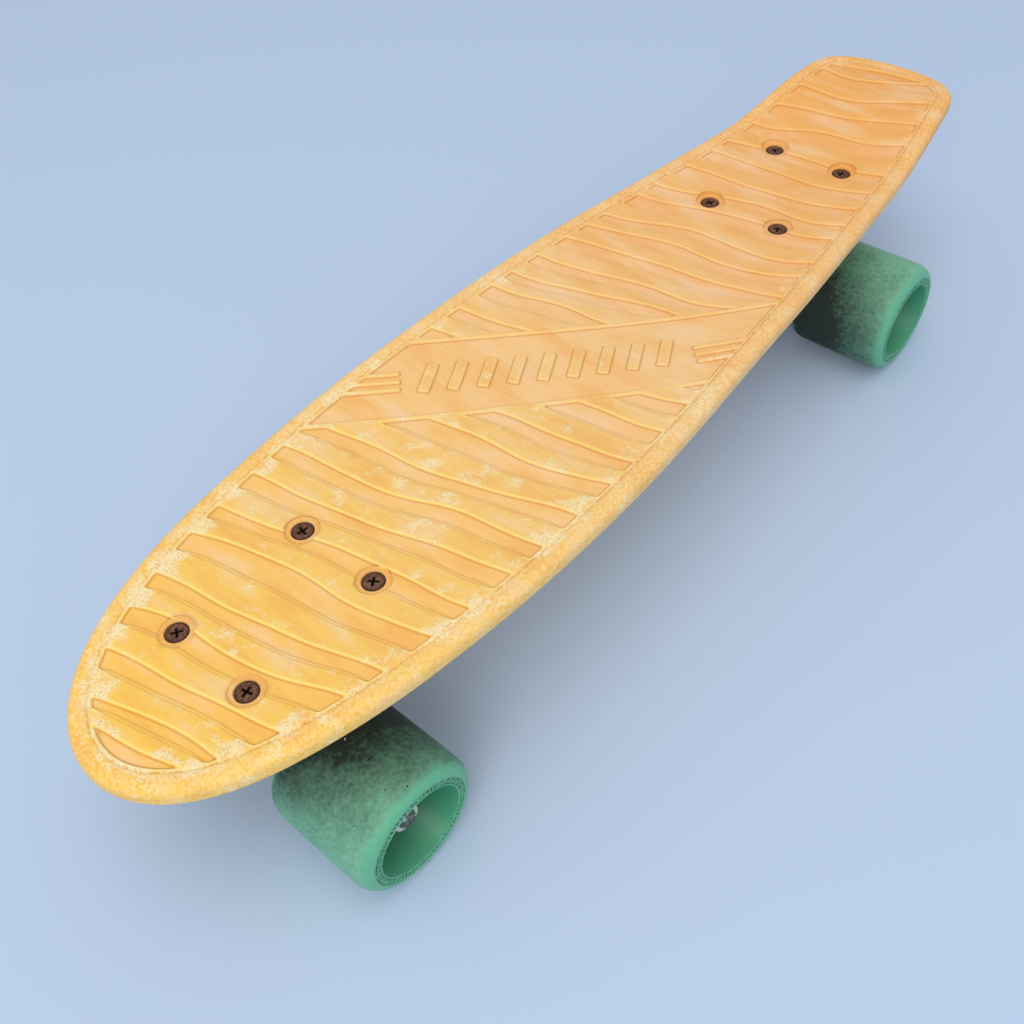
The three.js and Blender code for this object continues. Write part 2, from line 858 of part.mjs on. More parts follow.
function hangerNeck() {
  return alongPivot(turned([
    [0, -pivotNeckLength - pivotNeckRadius / 2],
    [pivotNeckRadius, -pivotNeckLength],
    [pivotNeckRadius, -pivotBallRadius / 2],
    [pivotBallRadius, 0],
    [pivotBallRadius * Math.SQRT1_2, pivotBallRadius * Math.SQRT1_2],
    [0, pivotBallRadius],
  ], roundSides));
}

// The arm runs from the pivot's neck down to the tube and the ring.
function hangerArm() {
  const { x, y } = axlePlace;
  const outline = [
    pivotAt(-pivotNeckLength, pivotNeckRadius + fitGap),
    kingPlace(ringStart - pivotNeckRadius, ringRadius + pivotNeckRadius / 3),
    kingPlace(ringStart + bond, ringRadius),
    kingPlace(ringEnd - bond, ringRadius - bond),
    new THREE.Vector2(x - tubeRadius + bond, y),
    new THREE.Vector2(x, y - tubeRadius + bond),
    new THREE.Vector2(x + tubeRadius - bond, y),
    pivotAt(-pivotNeckLength, -pivotNeckRadius - fitGap),
  ];
  return sideSlab(outline, armWidth);
}

// The yoke joins the ring to the tube.
function hangerYoke() {
  const { x, y } = axlePlace;
  const outline = [
    kingPlace(ringStart + bond, ringHoleRadius),
    kingPlace(ringStart + bond, ringRadius),
    new THREE.Vector2(x, y + tubeRadius - bond),
    new THREE.Vector2(x, y),
    new THREE.Vector2(x - tubeRadius + bond, y),
    kingPlace(ringEnd - bond, ringRadius - bond),
    kingPlace(ringEnd - bond, ringHoleRadius),
  ];
  return sideSlab(outline, yokeWidth);
}

function hangerGeometry() {
  const ring = alongKing(rod(ringRadius, ringStart, ringEnd, roundSides));
  const pieces = [ring, hangerArm(), hangerYoke(), hangerTube(), hangerNeck()];
  const hole = alongKing(rod(ringHoleRadius, ringStart - bond, ringEnd + bond, roundSides));
  const bore = rod(axleRadius + fitGap, -hangerWidth, hangerWidth, smallSides);
  bore.rotateX(Math.PI / 2);
  bore.translate(axlePlace.x, 0, axlePlace.y);
  return toGeometry(cutAll(joinAll(pieces.map(toSolid)), [hole, bore].map(toSolid)));
}

// Axle parts lie along the axle, outwards from the hanger's end

const innerBearingStart = hangerWidth / 2 + fitGap;
const hubWebStart = innerBearingStart + bearingWidth + fitGap;
const outerBearingStart = hubWebStart + hubWebWidth + fitGap;
const speedWasherStart = outerBearingStart + bearingWidth + fitGap;
const axleNutStart = speedWasherStart + speedWasherThickness + fitGap;
const axleEnd = axleNutStart + axleNutHeight + axleTip;
const wheelCentre = hubWebStart + hubWebWidth / 2;

// The wheel is the same on both sides: a hub web, a bearing seat and a funnel out to the face.
// Its flats, not its corners, lie on the rolling radius.
function wheelGeometry() {
  const flat = 1 / Math.cos(Math.PI / wheelSides);
  const face = wheelWidth / 2;
  const seatEnd = hubWebWidth / 2 + fitGap + bearingWidth;
  const seatRadius = (bearingOuterRadius + fitGap) * flat;
  const round = wheelEdgeRound;
  const half = [
    [hubWebRadius, hubWebWidth / 2],
    [seatRadius, hubWebWidth / 2],
    [seatRadius, seatEnd],
    [wheelLipRadius, seatEnd],
    [wheelMouthRadius, face],
    [wheelFaceRadius, face],
    [wheelRadius * flat - round / 4, face - round / 3],
    [wheelRadius * flat, face - round],
  ];
  const mirrored = half.map(([radius, height]) => [radius, -height]).reverse();
  const wheel = turned([half[0], ...mirrored.reverse(), ...half.slice().reverse()], wheelSides);
  return wheel.rotateX(Math.PI / 2);
}

// One sealed ball bearing with its shields a little below the races' faces.
function bearingGeometry() {
  const bore = axleRadius + fitGap + fitGap / 2;
  const half = bearingWidth / 2;
  const side = [
    [bore, half],
    [bearingLandInnerRadius, half],
    [bearingLandInnerRadius, half - bearingShieldInset],
    [bearingLandOuterRadius, half - bearingShieldInset],
    [bearingLandOuterRadius, half],
    [bearingOuterRadius, half],
  ];
  const mirrored = side.map(([radius, height]) => [radius, -height]);
  const bearing = turned([...mirrored, ...side.slice().reverse(), mirrored[0]], smallSides);
  return bearing.rotateX(Math.PI / 2);
}

function speedWasherGeometry() {
  const hole = axleRadius + fitGap;
  const washer = turned([
    [hole, 0],
    [speedWasherRadius, 0],
    [speedWasherRadius, speedWasherThickness],
    [hole, speedWasherThickness],
    [hole, 0],
  ], smallSides);
  return washer.rotateX(-Math.PI / 2);
}

// Materials

function material(color, roughness, metalness) {
  return new THREE.MeshStandardMaterial({ color, roughness, metalness });
}

const deckPlastic = material(0xe9a94f, 0.5, 0);
const rustySteel = material(0x5a3424, 0.7, 0.6);
const zincSteel = material(0x9a9890, 0.4, 1);
const castAluminium = material(0xa9abac, 0.45, 1);
const urethane = material(0x4f9b74, 0.4, 0);
const bushingUrethane = material(0x2c2b2a, 0.6, 0);
const bearingSteel = material(0x8d8f90, 0.3, 1);

function piece(name, geometry, finish) {
  const mesh = new THREE.Mesh(geometry, finish);
  mesh.name = name;
  return mesh;
}

// Assembly

function boltSet(end, x) {
  const group = new THREE.Group();
  const bolt = boltGeometry();
  const nut = hexNut(boltNutAcross, boltNutHeight, boltRadius + fitGap);
  boltPlaces(x).forEach(([boltX, boltY], i) => {
    const screw = piece(`${end}_deck_bolt_${i + 1}`, bolt, rustySteel);
    screw.position.set(boltX, boltY, boltHeadZ);
    const lock = piece(`${end}_lock_nut_${i + 1}`, nut, zincSteel);
    lock.position.set(boltX, boltY, mountZ - plateThickness - fitGap - boltNutHeight);
    group.add(screw, lock);
  });
  return group;
}

// The kingpin and what it threads through, made along the kingpin's own direction.
function kingpinStack(end) {
  const group = new THREE.Group();
  const lay = (name, geometry, finish, depth) => {
    const mesh = piece(`${end}_${name}`, geometry, finish);
    mesh.position.z = depth;
    group.add(mesh);
    return mesh;
  };
  const nutHole = kingRadius + fitGap;
  lay('kingpin', kingpinGeometry(), zincSteel, 0);
  lay('boardside_cup_washer', cupWasherGeometry(bushingRadius), zincSteel, boardWasherStart);
  lay('boardside_bushing', boardBushingGeometry(), bushingUrethane, boardBushingStart);
  lay('roadside_bushing', roadBushingGeometry(), bushingUrethane, roadBushingStart);
  const lower = lay('roadside_cup_washer', cupWasherGeometry(coneTipRadius), zincSteel, roadWasherEnd);
  lower.rotation.x = Math.PI;
  lay('kingpin_nut', hexNut(kingNutAcross, kingNutHeight, nutHole), zincSteel, kingNutStart);
  group.rotation.y = Math.atan2(kingDown.x, kingDown.y);
  group.position.set(kingFoot, 0, 0);
  return group;
}

function pivotCup(end) {
  const cup = piece(`${end}_pivot_cup`, pivotCupGeometry(), bushingUrethane);
  cup.rotation.y = Math.atan2(steerAxis.x, steerAxis.y);
  cup.position.set(pivotPlace.x, 0, pivotPlace.y);
  return cup;
}

// One end of the axle: wheel, two bearings, speed washer and nut, laid out along +Y.
function axleSide(end, side) {
  const group = new THREE.Group();
  const lay = (name, geometry, finish, along) => {
    const mesh = piece(`${end}_${side}_${name}`, geometry, finish);
    mesh.position.y = along;
    group.add(mesh);
    return mesh;
  };
  const bearing = bearingGeometry();
  const nut = hexNut(axleNutAcross, axleNutHeight, axleRadius + fitGap).rotateX(-Math.PI / 2);
  lay('wheel', wheelGeometry(), urethane, wheelCentre);
  lay('inner_bearing', bearing, bearingSteel, innerBearingStart + bearingWidth / 2);
  lay('outer_bearing', bearing, bearingSteel, outerBearingStart + bearingWidth / 2);
  lay('speed_washer', speedWasherGeometry(), zincSteel, speedWasherStart);
  lay('axle_nut', nut, zincSteel, axleNutStart);
  group.position.set(axlePlace.x, 0, axlePlace.y);
  return group;
}

function axleRod(end) {
  const geometry = rod(axleRadius, -axleEnd, axleEnd, smallSides).rotateX(Math.PI / 2);
  const mesh = piece(`${end}_axle`, geometry, zincSteel);
  mesh.position.set(axlePlace.x, 0, axlePlace.y);
  return mesh;
}

// A truck faces +X, with its pivot towards the board's end and its kingpin towards the middle.
function truck(end, sides) {
  const group = new THREE.Group();
  group.add(piece(`${end}_baseplate`, baseplateGeometry(), castAluminium));
  group.add(piece(`${end}_hanger`, hangerGeometry(), castAluminium));
  group.add(kingpinStack(end), pivotCup(end), axleRod(end));
  const plusY = axleSide(end, sides[0]);
  const minusY = axleSide(end, sides[1]);
  minusY.rotation.z = Math.PI;
  group.add(plusY, minusY);
  return group;
}

function skateboard() {
  const board = new THREE.Group();
  board.add(piece('deck', deckGeometry(), deckPlastic));
  board.add(boltSet('front', frontX), boltSet('rear', rearX));
  const front = truck('front', ['left', 'right']);
  front.position.set(frontX, 0, mountZ);
  const rear = truck('rear', ['right', 'left']);
  rear.position.set(rearX, 0, mountZ);
  rear.rotation.z = Math.PI;
  board.add(front, rear);
  return board;
}

export default skateboard();
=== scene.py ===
# A used cruiser skateboard: a moulded plastic deck on two cast trucks, with four urethane wheels.
# Lengths in this file are in millimetres, +X to the nose, +Y to the rider's left and +Z up. A mesh
# is scaled to metres where it is made.
import math

import bpy
import numpy as np
from mathutils import Matrix, Vector
from mathutils.geometry import delaunay_2d_cdt


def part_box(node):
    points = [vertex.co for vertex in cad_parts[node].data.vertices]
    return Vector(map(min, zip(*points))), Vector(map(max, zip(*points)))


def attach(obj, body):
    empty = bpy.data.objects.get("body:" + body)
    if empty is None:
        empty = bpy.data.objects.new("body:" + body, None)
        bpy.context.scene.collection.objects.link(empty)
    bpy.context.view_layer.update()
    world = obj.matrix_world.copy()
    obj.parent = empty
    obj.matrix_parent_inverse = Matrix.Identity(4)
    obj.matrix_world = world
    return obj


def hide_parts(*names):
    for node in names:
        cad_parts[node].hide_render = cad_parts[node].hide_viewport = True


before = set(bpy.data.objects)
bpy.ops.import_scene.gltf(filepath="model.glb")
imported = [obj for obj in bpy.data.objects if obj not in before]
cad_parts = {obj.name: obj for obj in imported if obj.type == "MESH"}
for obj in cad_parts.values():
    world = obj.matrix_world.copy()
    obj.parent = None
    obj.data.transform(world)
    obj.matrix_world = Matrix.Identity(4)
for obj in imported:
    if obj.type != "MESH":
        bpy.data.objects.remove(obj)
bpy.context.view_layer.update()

# Deck
# One injection moulding in polypropylene. The mould gives it a rolled rim, raised wavy bands for
# grip, a smooth slanted panel and, on its underside, stiffening ribs and two pads for the trucks.

metres_per_mm = 0.001

deck_length = 571.5
deck_width = 147.5
nose_round = 99
nose_fullness = 2.9
tail_round = 30
tail_fullness = 3.1
width_shares = [0.7, 0.78, 0.9, 0.975, 1, 0.98, 0.93, 0.87, 0.795, 0.72, 0.64, 0.52]
pattern_length = 63.5

skin_thickness = 4.5
arch_rise = 1.5
dish_depth = 7
nose_dish_depth = 3
dish_fade_lead = 40
dish_fade_run = 120
kick_rise = 12.8
kick_lead = 26
kick_run = 84
nose_drop = 3
nose_drop_length = 90
pad_thickness = 10
fit_gap = 0.3

wave_height = 0.9
wave_skew = 34
wave_swing = 2.5
ripple = 0.35
ripple_length = 41
band_share = 0.54
nose_tilt_share = 0.7
tail_tilt_share = 0.9

# Each band's lip by its place along the deck from the nose tip, then by where across the deck, from
# the middle, it swings furthest to the nose and to the tail, and by how far it swings.
lip_shares = [0.027, 0.045, 0.075, 0.109, 0.138, 0.18, 0.211, 0.244, 0.277, 0.308, 0.349, 0.378, 0.416,
              0.446, 0.479, 0.518, 0.546, 0.574, 0.606, 0.637, 0.663, 0.704, 0.729, 0.759, 0.792, 0.824,
              0.866, 0.896, 0.926, 0.962, 0.975]
crest_shares = [0, -0.18, 0.14, 0.09, 0.03, 0.26, -0.34, -0.09, -0.09, 0.03, 0.27, 0.37, 0.41,
                0.34, -0.35, -0.37, -0.35, -0.31, 0.35, 0.22, 0.24, 0.26, 0.25, 0.22, 0.22, 0.24,
                0.17, 0.07, -0.03, -0.08, 0.16]
trough_shares = [0.27, 0.05, -0.2, -0.17, -0.31, -0.14, 0.03, 0.24, 0.17, -0.31, -0.11, 0, 0.05,
                 0, 0, -0.18, 0.03, -0.07, -0.14, -0.12, -0.08, -0.03, -0.03, -0.29, -0.26, -0.12,
                 -0.03, -0.2, 0.27, 0.24, -0.07]
swing_shares = [0.24, 0.64, 0.2, 0.88, 0.36, 1.2, 0.8, 0.32, 0.72, 0.6, 1.28, 1, 1,
                0.12, 0.48, 0.48, 1.36, 0.8, 1.2, 1.6, 1.92, 1.2, 1.48, 1.32, 1.92, 1.36,
                0.92, 0.32, 1.2, 1.6, 0.8]

panel_width = 50.6
panel_lead = 5.8
panel_angle = math.radians(-44)
rib_width = 1.8
bar_count = 9
bar_pitch = 13.5
bar_lead = 6
bar_width = 5
bar_height = 18
bar_slant = math.radians(18)
stripe_count = 3
stripe_length = 36
stripe_pitch = 5
stripe_start = 67
stripe_rises = [4.5, 1]

# The rolled rim's section. Its points are an inset from the outline and a rise above the skin's top,
# above the skirt's foot or above the skin's underside.
rim_rise = 1.3
crown_rise = 1.1
edge_depth = 9
rim_groove = [(8.66, 0.84), (8.5, 0.6), (8.3, 0.42), (8.1, 0.4), (7.9, 0.52), (7.7, 0.8), (7.3, 1.02)]
rim_crown = [(6.6, 1.1), (5.8, 1.12)]
rim_round = 4.2
rim_round_drop = 3.2
rim_round_steps = 10
foot_round = 1.7
foot_height = 1.8
foot_steps = 6
skirt_foot = [(2.6, 0), (3.2, 0.25), (3.4, 0.9)]
skirt_root = [(3.7, -0.9), (4.1, -0.2), (5, 0)]

pocket_inset = 9.5
patch_inset = 8.9
wall_top = 0.3
lip_wall = 0.8
back_wall = 1.6
corner_radius = 0.7
fade_reach = 6
level_lines = [-1.5, -0.8, -0.55, -0.3, -0.05, 0.2, 0.5, 0.85, 1.3, 1.6]

outline_steps = 240
points_per_chunk = 4000
merge_distance = 1e-4
relief_grid = 1.0
filler_grid = 2.6
filler_margin = 0.8
under_grid = 6.0


def middle_of(node):
    """The middle of a frame node's box, in millimetres."""
    low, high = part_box(node)
    return (low + high) / 2 / metres_per_mm


nose_x = deck_length / 2
tail_x = -deck_length / 2
front_x = (middle_of("front_deck_bolt_1").x + middle_of("front_deck_bolt_3").x) / 2
rear_x = (middle_of("rear_deck_bolt_1").x + middle_of("rear_deck_bolt_3").x) / 2
middle_x = (front_x + rear_x) / 2
mount_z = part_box("front_baseplate")[1].z / metres_per_mm
field_z = mount_z + fit_gap + pad_thickness


def through(values, share):
    """A smooth curve through evenly spaced values, read at shares of its length."""
    values = np.asarray(values, float)
    place = np.clip(share, 0, 1) * (len(values) - 1)
    first = np.minimum(place.astype(int), len(values) - 2)
    t = place - first
    a = values[np.maximum(first - 1, 0)]
    b = values[first]
    c = values[first + 1]
    d = values[np.minimum(first + 2, len(values) - 1)]
    bend = (a - 2.5 * b + 2 * c - d / 2) * t**2
    return b + (c - a) / 2 * t + bend + (1.5 * b - a / 2 - 1.5 * c + d / 2) * t**3


def end_share(distance, round_length, fullness):
    near = 1 - np.clip(distance / round_length, 0, 1)
    return np.sqrt(1 - near**fullness)


def half_outline():
    """The left half of the outline, from the nose tip to the tail's end."""
    share = (1 - np.cos(np.pi * np.arange(outline_steps + 1) / outline_steps)) / 2
    knots = np.linspace(0, deck_length, len(width_shares))
    along = through(knots, share)
    width = through(np.array(width_shares) * deck_width / 2, share)
    nose = end_share(along, nose_round, nose_fullness)
    tail = end_share(deck_length - along, tail_round, tail_fullness)
    return np.stack([nose_x - along, width * nose * tail], 1)


outline = half_outline()


def inset_loop(inset):
    """A closed loop inside the outline, from the nose tip round by the left side."""
    direction = outline[2:] - outline[:-2]
    direction /= np.linalg.norm(direction, axis=1)[:, None]
    left = outline.copy()
    left[1:-1, 0] -= direction[:, 1] * inset
    left[1:-1, 1] += direction[:, 0] * inset
    left[0, 0] -= inset
    left[-1, 0] += inset
    right = left[-2:0:-1] * [1, -1]
    return np.concatenate([left, right])


def smooth(share):
    held = np.clip(share, 0, 1)
    return held * held * (3 - 2 * held)


def field_at(x, y):
    """The height of the deck's plain top surface."""
    half_span = (front_x - rear_x - pattern_length) / 2
    arch = arch_rise * np.cos(np.minimum(np.abs(x - middle_x) / half_span, 1) * np.pi / 2) ** 2
    kick = kick_rise * smooth((rear_x - kick_lead - x) / kick_run)
    drop = nose_drop * (np.maximum(x - nose_x + nose_drop_length, 0) / nose_drop_length) ** 2
    rearward = smooth((middle_x + dish_fade_lead - x) / dish_fade_run)
    depth = nose_dish_depth + (dish_depth - nose_dish_depth) * rearward
    return field_z + arch + kick - drop + depth * (2 * y / deck_width) ** 2


def inset_at(x, y):
    """How far a plan point lies inside the outline, below zero outside it."""
    start = outline[:-1]
    run = outline[1:] - start
    reach = np.empty(len(x))
    for chunk in np.array_split(np.arange(len(x)), len(x) // points_per_chunk + 1):
        point = np.stack([x[chunk], np.abs(y[chunk])], 1)[:, None] - start
        share = np.clip((point * run).sum(2) / (run * run).sum(1), 0, 1)
        reach[chunk] = np.sqrt(((point - share[..., None] * run) ** 2).sum(2).min(1))
    half_width = np.interp(x, outline[::-1, 0], outline[::-1, 1], -1, -1)
    return np.where(np.abs(y) < half_width, reach, -reach)


def wave_lines(y):
    """Each raised band's lip, on its nose side, and its back, at each y."""
    lips = []
    for place, crest, trough, swing in zip(lip_shares, crest_shares, trough_shares, swing_shares):
        turn = np.pi * (y / deck_width - crest) / (trough - crest)
        small = ripple * np.sin(2 * np.pi * y / ripple_length + len(lips))
        slant = nose_x - place * deck_length - wave_skew * y / deck_width
        lips.append(slant + wave_swing * swing * np.cos(turn) + small)
    lips = np.stack(lips, 1)
    after = np.column_stack([lips[:, 1:], 2 * lips[:, -1] - lips[:, -2]])
    return lips, lips + band_share * (after - lips)


def rounded_least(distances):
    """The least of some distances, with its corners rounded off."""
    least = np.min(distances, axis=0)
    short = [np.maximum(corner_radius - distance, 0) ** 2 for distance in distances]
    return np.where(least < corner_radius, corner_radius - np.sqrt(sum(short)), least)


def outside_box(along, across, length, width):
    """How far a point lies outside a rectangle, below zero inside it."""
    over_length = np.abs(along) - length / 2
    over_width = np.abs(across) - width / 2
    outer = np.hypot(np.maximum(over_length, 0), np.maximum(over_width, 0))
    return outer + np.minimum(np.maximum(over_length, over_width), 0)


def panel_marks(along, across):
    """Distances to the plain bars and stripes that stand on the smooth panel."""
    marks = []
    lean = math.pi / 2 - bar_slant
    for i in range(bar_count):
        offset = along - bar_lead - (i - (bar_count - 1) / 2) * bar_pitch
        run = offset * math.cos(lean) + across * math.sin(lean)
        out = across * math.cos(lean) - offset * math.sin(lean)
        marks.append(outside_box(run, out, bar_height, bar_width))
    reach = stripe_start + stripe_length / 2
    for end, rise in zip((-1, 1), stripe_rises):
        for i in range(stripe_count):
            side = rise + (i - (stripe_count - 1) / 2) * stripe_pitch
            from_end = along - bar_lead - end * reach
            marks.append(outside_box(from_end, across - side, stripe_length, rib_width))
    return marks


def relief_at(x, y, inset):
    """What the mould does at each plan point: how deep in a pocket it lies, and the band's height."""
    lips, backs = wave_lines(y)
    far = np.full((len(x), 1), 2 * deck_length)
    square = 1 / math.hypot(1, wave_skew / deck_width)
    to_lips = (x[:, None] - np.hstack([lips, -far])) * square
    to_backs = (np.hstack([far, backs]) - x[:, None]) * square
    pocket = np.argmax(np.minimum(to_lips, to_backs), 1)[:, None]
    to_lip = np.take_along_axis(to_lips, pocket, 1)[:, 0]
    to_back = np.take_along_axis(to_backs, pocket, 1)[:, 0]
    ahead = x - middle_x - panel_lead
    along = ahead * math.cos(panel_angle) + y * math.sin(panel_angle)
    across = y * math.cos(panel_angle) - ahead * math.sin(panel_angle)
    inner = inset - pocket_inset
    beyond_panel = np.abs(across) - panel_width / 2
    in_wave = rounded_least([to_lip, to_back, inner, beyond_panel])
    marks = panel_marks(along, across)
    in_panel = rounded_least([-beyond_panel - rib_width, inner, *marks])
    depth = np.maximum(in_wave, in_panel)
    band = np.clip((lips > x[:, None]).sum(1) - 1, 0, lips.shape[1] - 1)[:, None]
    lip = np.take_along_axis(lips, band, 1)[:, 0]
    back = np.take_along_axis(backs, band, 1)[:, 0]
    in_pocket = np.clip((to_lip - to_back) / fade_reach + 0.5, 0, 1)
    on_band = np.clip((lip - x) / (lip - back), 0, 1) ** 1.5
    rearness = np.where(in_wave > 0, in_pocket, on_band)
    rearness = np.where(beyond_panel > -rib_width, rearness, 0)
    rearness = rearness * smooth(np.minimum(inner, beyond_panel) / fade_reach)
    tilt = nose_tilt_share + (tail_tilt_share - nose_tilt_share) * smooth((middle_x - x) / wave_skew / 4)
    height = wave_height * (1 - tilt * rearness)
    wall = lip_wall + (back_wall - lip_wall) * np.where(in_wave > in_panel, rearness, 0)
    sunk = smooth((depth + wall_top) / wall)
    return depth, height, sunk, rearness, beyond_panel


def level_line(values, level, xs, ys):
    """The points and edges where a grid of values crosses a level."""
    above = values > level
    over_x = above[1:, :] != above[:-1, :]
    over_y = above[:, 1:] != above[:, :-1]
    count_x = int(over_x.sum())
    numbers_x = np.full(over_x.shape, -1)
    numbers_x[over_x] = np.arange(count_x)
    numbers_y = np.full(over_y.shape, -1)
    numbers_y[over_y] = count_x + np.arange(int(over_y.sum()))
    i, j = np.nonzero(over_x)
    share = (level - values[i, j]) / (values[i + 1, j] - values[i, j])
    points_x = np.stack([xs[i] + share * (xs[1] - xs[0]), ys[j]], 1)
    i, j = np.nonzero(over_y)
    share = (level - values[i, j]) / (values[i, j + 1] - values[i, j])
    points_y = np.stack([xs[i], ys[j] + share * (ys[1] - ys[0])], 1)
    around = [numbers_x[:, :-1], numbers_y[1:, :], numbers_x[:, 1:], numbers_y[:-1, :]]
    cells = np.stack(around, -1).reshape(-1, 4)
    crossed = (cells >= 0).sum(1)
    pairs = cells[crossed == 2]
    saddles = cells[crossed == 4]
    edges = np.concatenate([pairs[pairs >= 0].reshape(-1, 2), saddles.reshape(-1, 2)])
    return np.concatenate([points_x, points_y]), edges


def triangles_within(loop, extra_points, extra_edges):
    """Triangles that fill a loop, with further points and lines kept as their corners and edges."""
    count = len(loop)
    points = np.concatenate([loop, extra_points])
    edges = [(i, (i + 1) % count) for i in range(count)]
    edges += [(count + a, count + b) for a, b in extra_edges.tolist()]
    made = delaunay_2d_cdt([Vector(p) for p in points.tolist()], edges, [], 1, merge_distance)
    places = np.array([p[:] for p in made[0]])
    on_loop = np.empty(count, int)
    for new, originals in enumerate(made[3]):
        for original in originals:
            if original < count:
                on_loop[original] = new
    return places, made[2], on_loop


def grid_points(step, shift_share):
    xs = np.arange(tail_x, nose_x, step)
    ys = np.arange(-deck_width / 2, deck_width / 2, step)
    x, y = np.meshgrid(xs, ys, indexing="ij")
    y = y + (np.arange(len(xs)) % 2)[:, None] * step * shift_share
    return x.ravel(), y.ravel()


def top_patch():
    """The patterned top inside the rim, meshed along the edges of every band, rib and bar."""
    xs = np.arange(tail_x, nose_x + relief_grid, relief_grid)
    ys = np.arange(-deck_width / 2, deck_width / 2 + relief_grid, relief_grid)
    x, y = np.meshgrid(xs, ys, indexing="ij")
    inset = inset_at(x.ravel(), y.ravel())
    depth = relief_at(x.ravel(), y.ravel(), inset)[0].reshape(x.shape)
    points = []
    edges = []
    count = 0
    for level in level_lines:
        line_points, line_edges = level_line(depth, level, xs, ys)
        inside = inset_at(line_points[:, 0], line_points[:, 1]) > patch_inset + filler_margin / 4
        points.append(line_points[inside])
        numbers = count + np.cumsum(inside) - 1
        edges.append(numbers[line_edges[inside[line_edges].all(1)]])
        count += int(inside.sum())
    fill_x, fill_y = grid_points(filler_grid, 0.5)
    fill_inset = inset_at(fill_x, fill_y)
    fill_depth = relief_at(fill_x, fill_y, fill_inset)[0]
    inner = fill_inset > patch_inset + filler_margin
    on_floor = fill_depth > level_lines[-1] + filler_margin / 16
    off_wall = (fill_depth < level_lines[0] - filler_margin) | on_floor
    keep = inner & off_wall
    points.append(np.stack([fill_x[keep], fill_y[keep]], 1))
    return triangles_within(inset_loop(patch_inset), np.concatenate(points), np.concatenate(edges))


def arc(centre, radii, start, end, steps):
    """Points of an elliptical arc in a section, with its angles in degrees from its own +inset."""
    angles = np.radians(np.linspace(start, end, steps + 1))
    return [(centre[0] + radii[0] * math.cos(a), centre[1] + radii[1] * math.sin(a)) for a in angles]


def rim_section():
    """The rim from the inner rib outwards and down round the skirt: inset and rise of each ring."""
    bottom = rim_rise - edge_depth
    round_radii = (rim_round, crown_rise + rim_round_drop)
    crown = arc((rim_round, -rim_round_drop), round_radii, 90, 180, rim_round_steps)
    foot = arc((foot_round, bottom + foot_height), (foot_round, foot_height), 180, 270, foot_steps)
    inner = [(inset, bottom + rise) for inset, rise in skirt_foot]
    root = [(inset, rise - skin_thickness) for inset, rise in skirt_root]
    return [*rim_groove, *rim_crown, *crown, *foot, *inner, *root]


def shape(points, faces, place=Matrix()):
    """A mesh object from points in millimetres, moved to its place."""
    mesh = bpy.data.meshes.new("shape")
    mesh.from_pydata([tuple(p) for p in np.asarray(points, float).tolist()], [], faces)
    mesh.transform(Matrix.Scale(metres_per_mm, 4) @ place)
    mesh.update()
    made = bpy.data.objects.new("shape", mesh)
    bpy.context.scene.collection.objects.link(made)
    return made


def deck_shell():
    """The deck's closed skin: patterned top, rolled rim, skirt and plain underside."""
    top, top_faces, top_loop = top_patch()
    inset = inset_at(top[:, 0], top[:, 1])
    _, height, sunk, _, _ = relief_at(top[:, 0], top[:, 1], inset)
    top_z = field_at(top[:, 0], top[:, 1]) + height * (1 - sunk)
    points = [np.column_stack([top, top_z])]
    faces = list(top_faces)
    total = len(top)
    ring = top_loop
    for inset, rise in rim_section():
        loop = inset_loop(inset)
        points.append(np.column_stack([loop, field_at(loop[:, 0], loop[:, 1]) + rise]))
        outer = total + np.arange(len(loop))
        quads = np.stack([ring, outer, np.roll(outer, -1), np.roll(ring, -1)], 1)
        faces += quads.tolist()
        ring = outer
        total += len(loop)
    x, y = grid_points(under_grid, 0.5)
    keep = inset_at(x, y) > inset + under_grid / 2
    spread = np.stack([x[keep], y[keep]], 1)
    under, under_faces, under_loop = triangles_within(loop, spread, np.empty((0, 2), int))
    new = np.ones(len(under), bool)
    new[under_loop] = False
    numbers = total + np.cumsum(new) - 1
    numbers[under_loop] = ring
    height = field_at(under[:, 0], under[:, 1]) - skin_thickness
    points.append(np.column_stack([under, height])[new])
    faces += [[int(numbers[i]) for i in reversed(face)] for face in under_faces]
    return shape(np.concatenate(points), faces)


def combined(body, others, operation):
    """The body joined to the others, cut by them, or kept only within them."""
    for other in others:
        modifier = body.modifiers.new(operation, "BOOLEAN")
        modifier.operation = operation
        modifier.solver = "MANIFOLD"
        modifier.object = other
    graph = bpy.context.evaluated_depsgraph_get()
    mesh = bpy.data.meshes.new_from_object(body.evaluated_get(graph))
    body.modifiers.clear()
    body.data = mesh
    for other in others:
        bpy.data.objects.remove(other)
    return body


def strip(line, width, lows, highs):
    """A closed bar along a plan line, with its own lower and upper height at each point."""
    line = np.asarray(line, float)
    ahead = line[-1] - line[0]
    side = np.array([-ahead[1], ahead[0]]) / np.linalg.norm(ahead) * width / 2
    points = []
    for place, low, high in zip(line, lows, highs):
        points += [(*(place + side), low), (*(place + side), high)]
        points += [(*(place - side), high), (*(place - side), low)]
    faces = [[0, 1, 2, 3], [len(points) - i for i in (1, 2, 3, 4)]]
    for i in range(len(line) - 1):
        for k in range(4):
            a = 4 * i + k
            b = 4 * i + (k + 1) % 4
            faces.append([a, a + 4, b + 4, b])
    return shape(points, faces)


under_rib_width = 2.4
under_rib_pitch = 54
under_rib_spread = 25
long_rib_inset = 24
rib_bond = 0.6
rib_runs = 48
cross_rib_runs = 15
cross_rib_gap = 3
plate_length = 84
plate_width = 57
pad_margin = 3
pad_corner = 9


def under_rib(line):
    """One stiffening rib, from just inside the skin down to near the skirt's edge."""
    x, y = np.asarray(line, float).T
    low = field_at(x, y) + rim_rise + rib_bond - edge_depth
    return strip(line, under_rib_width, low, field_at(x, y) - skin_thickness / 2)


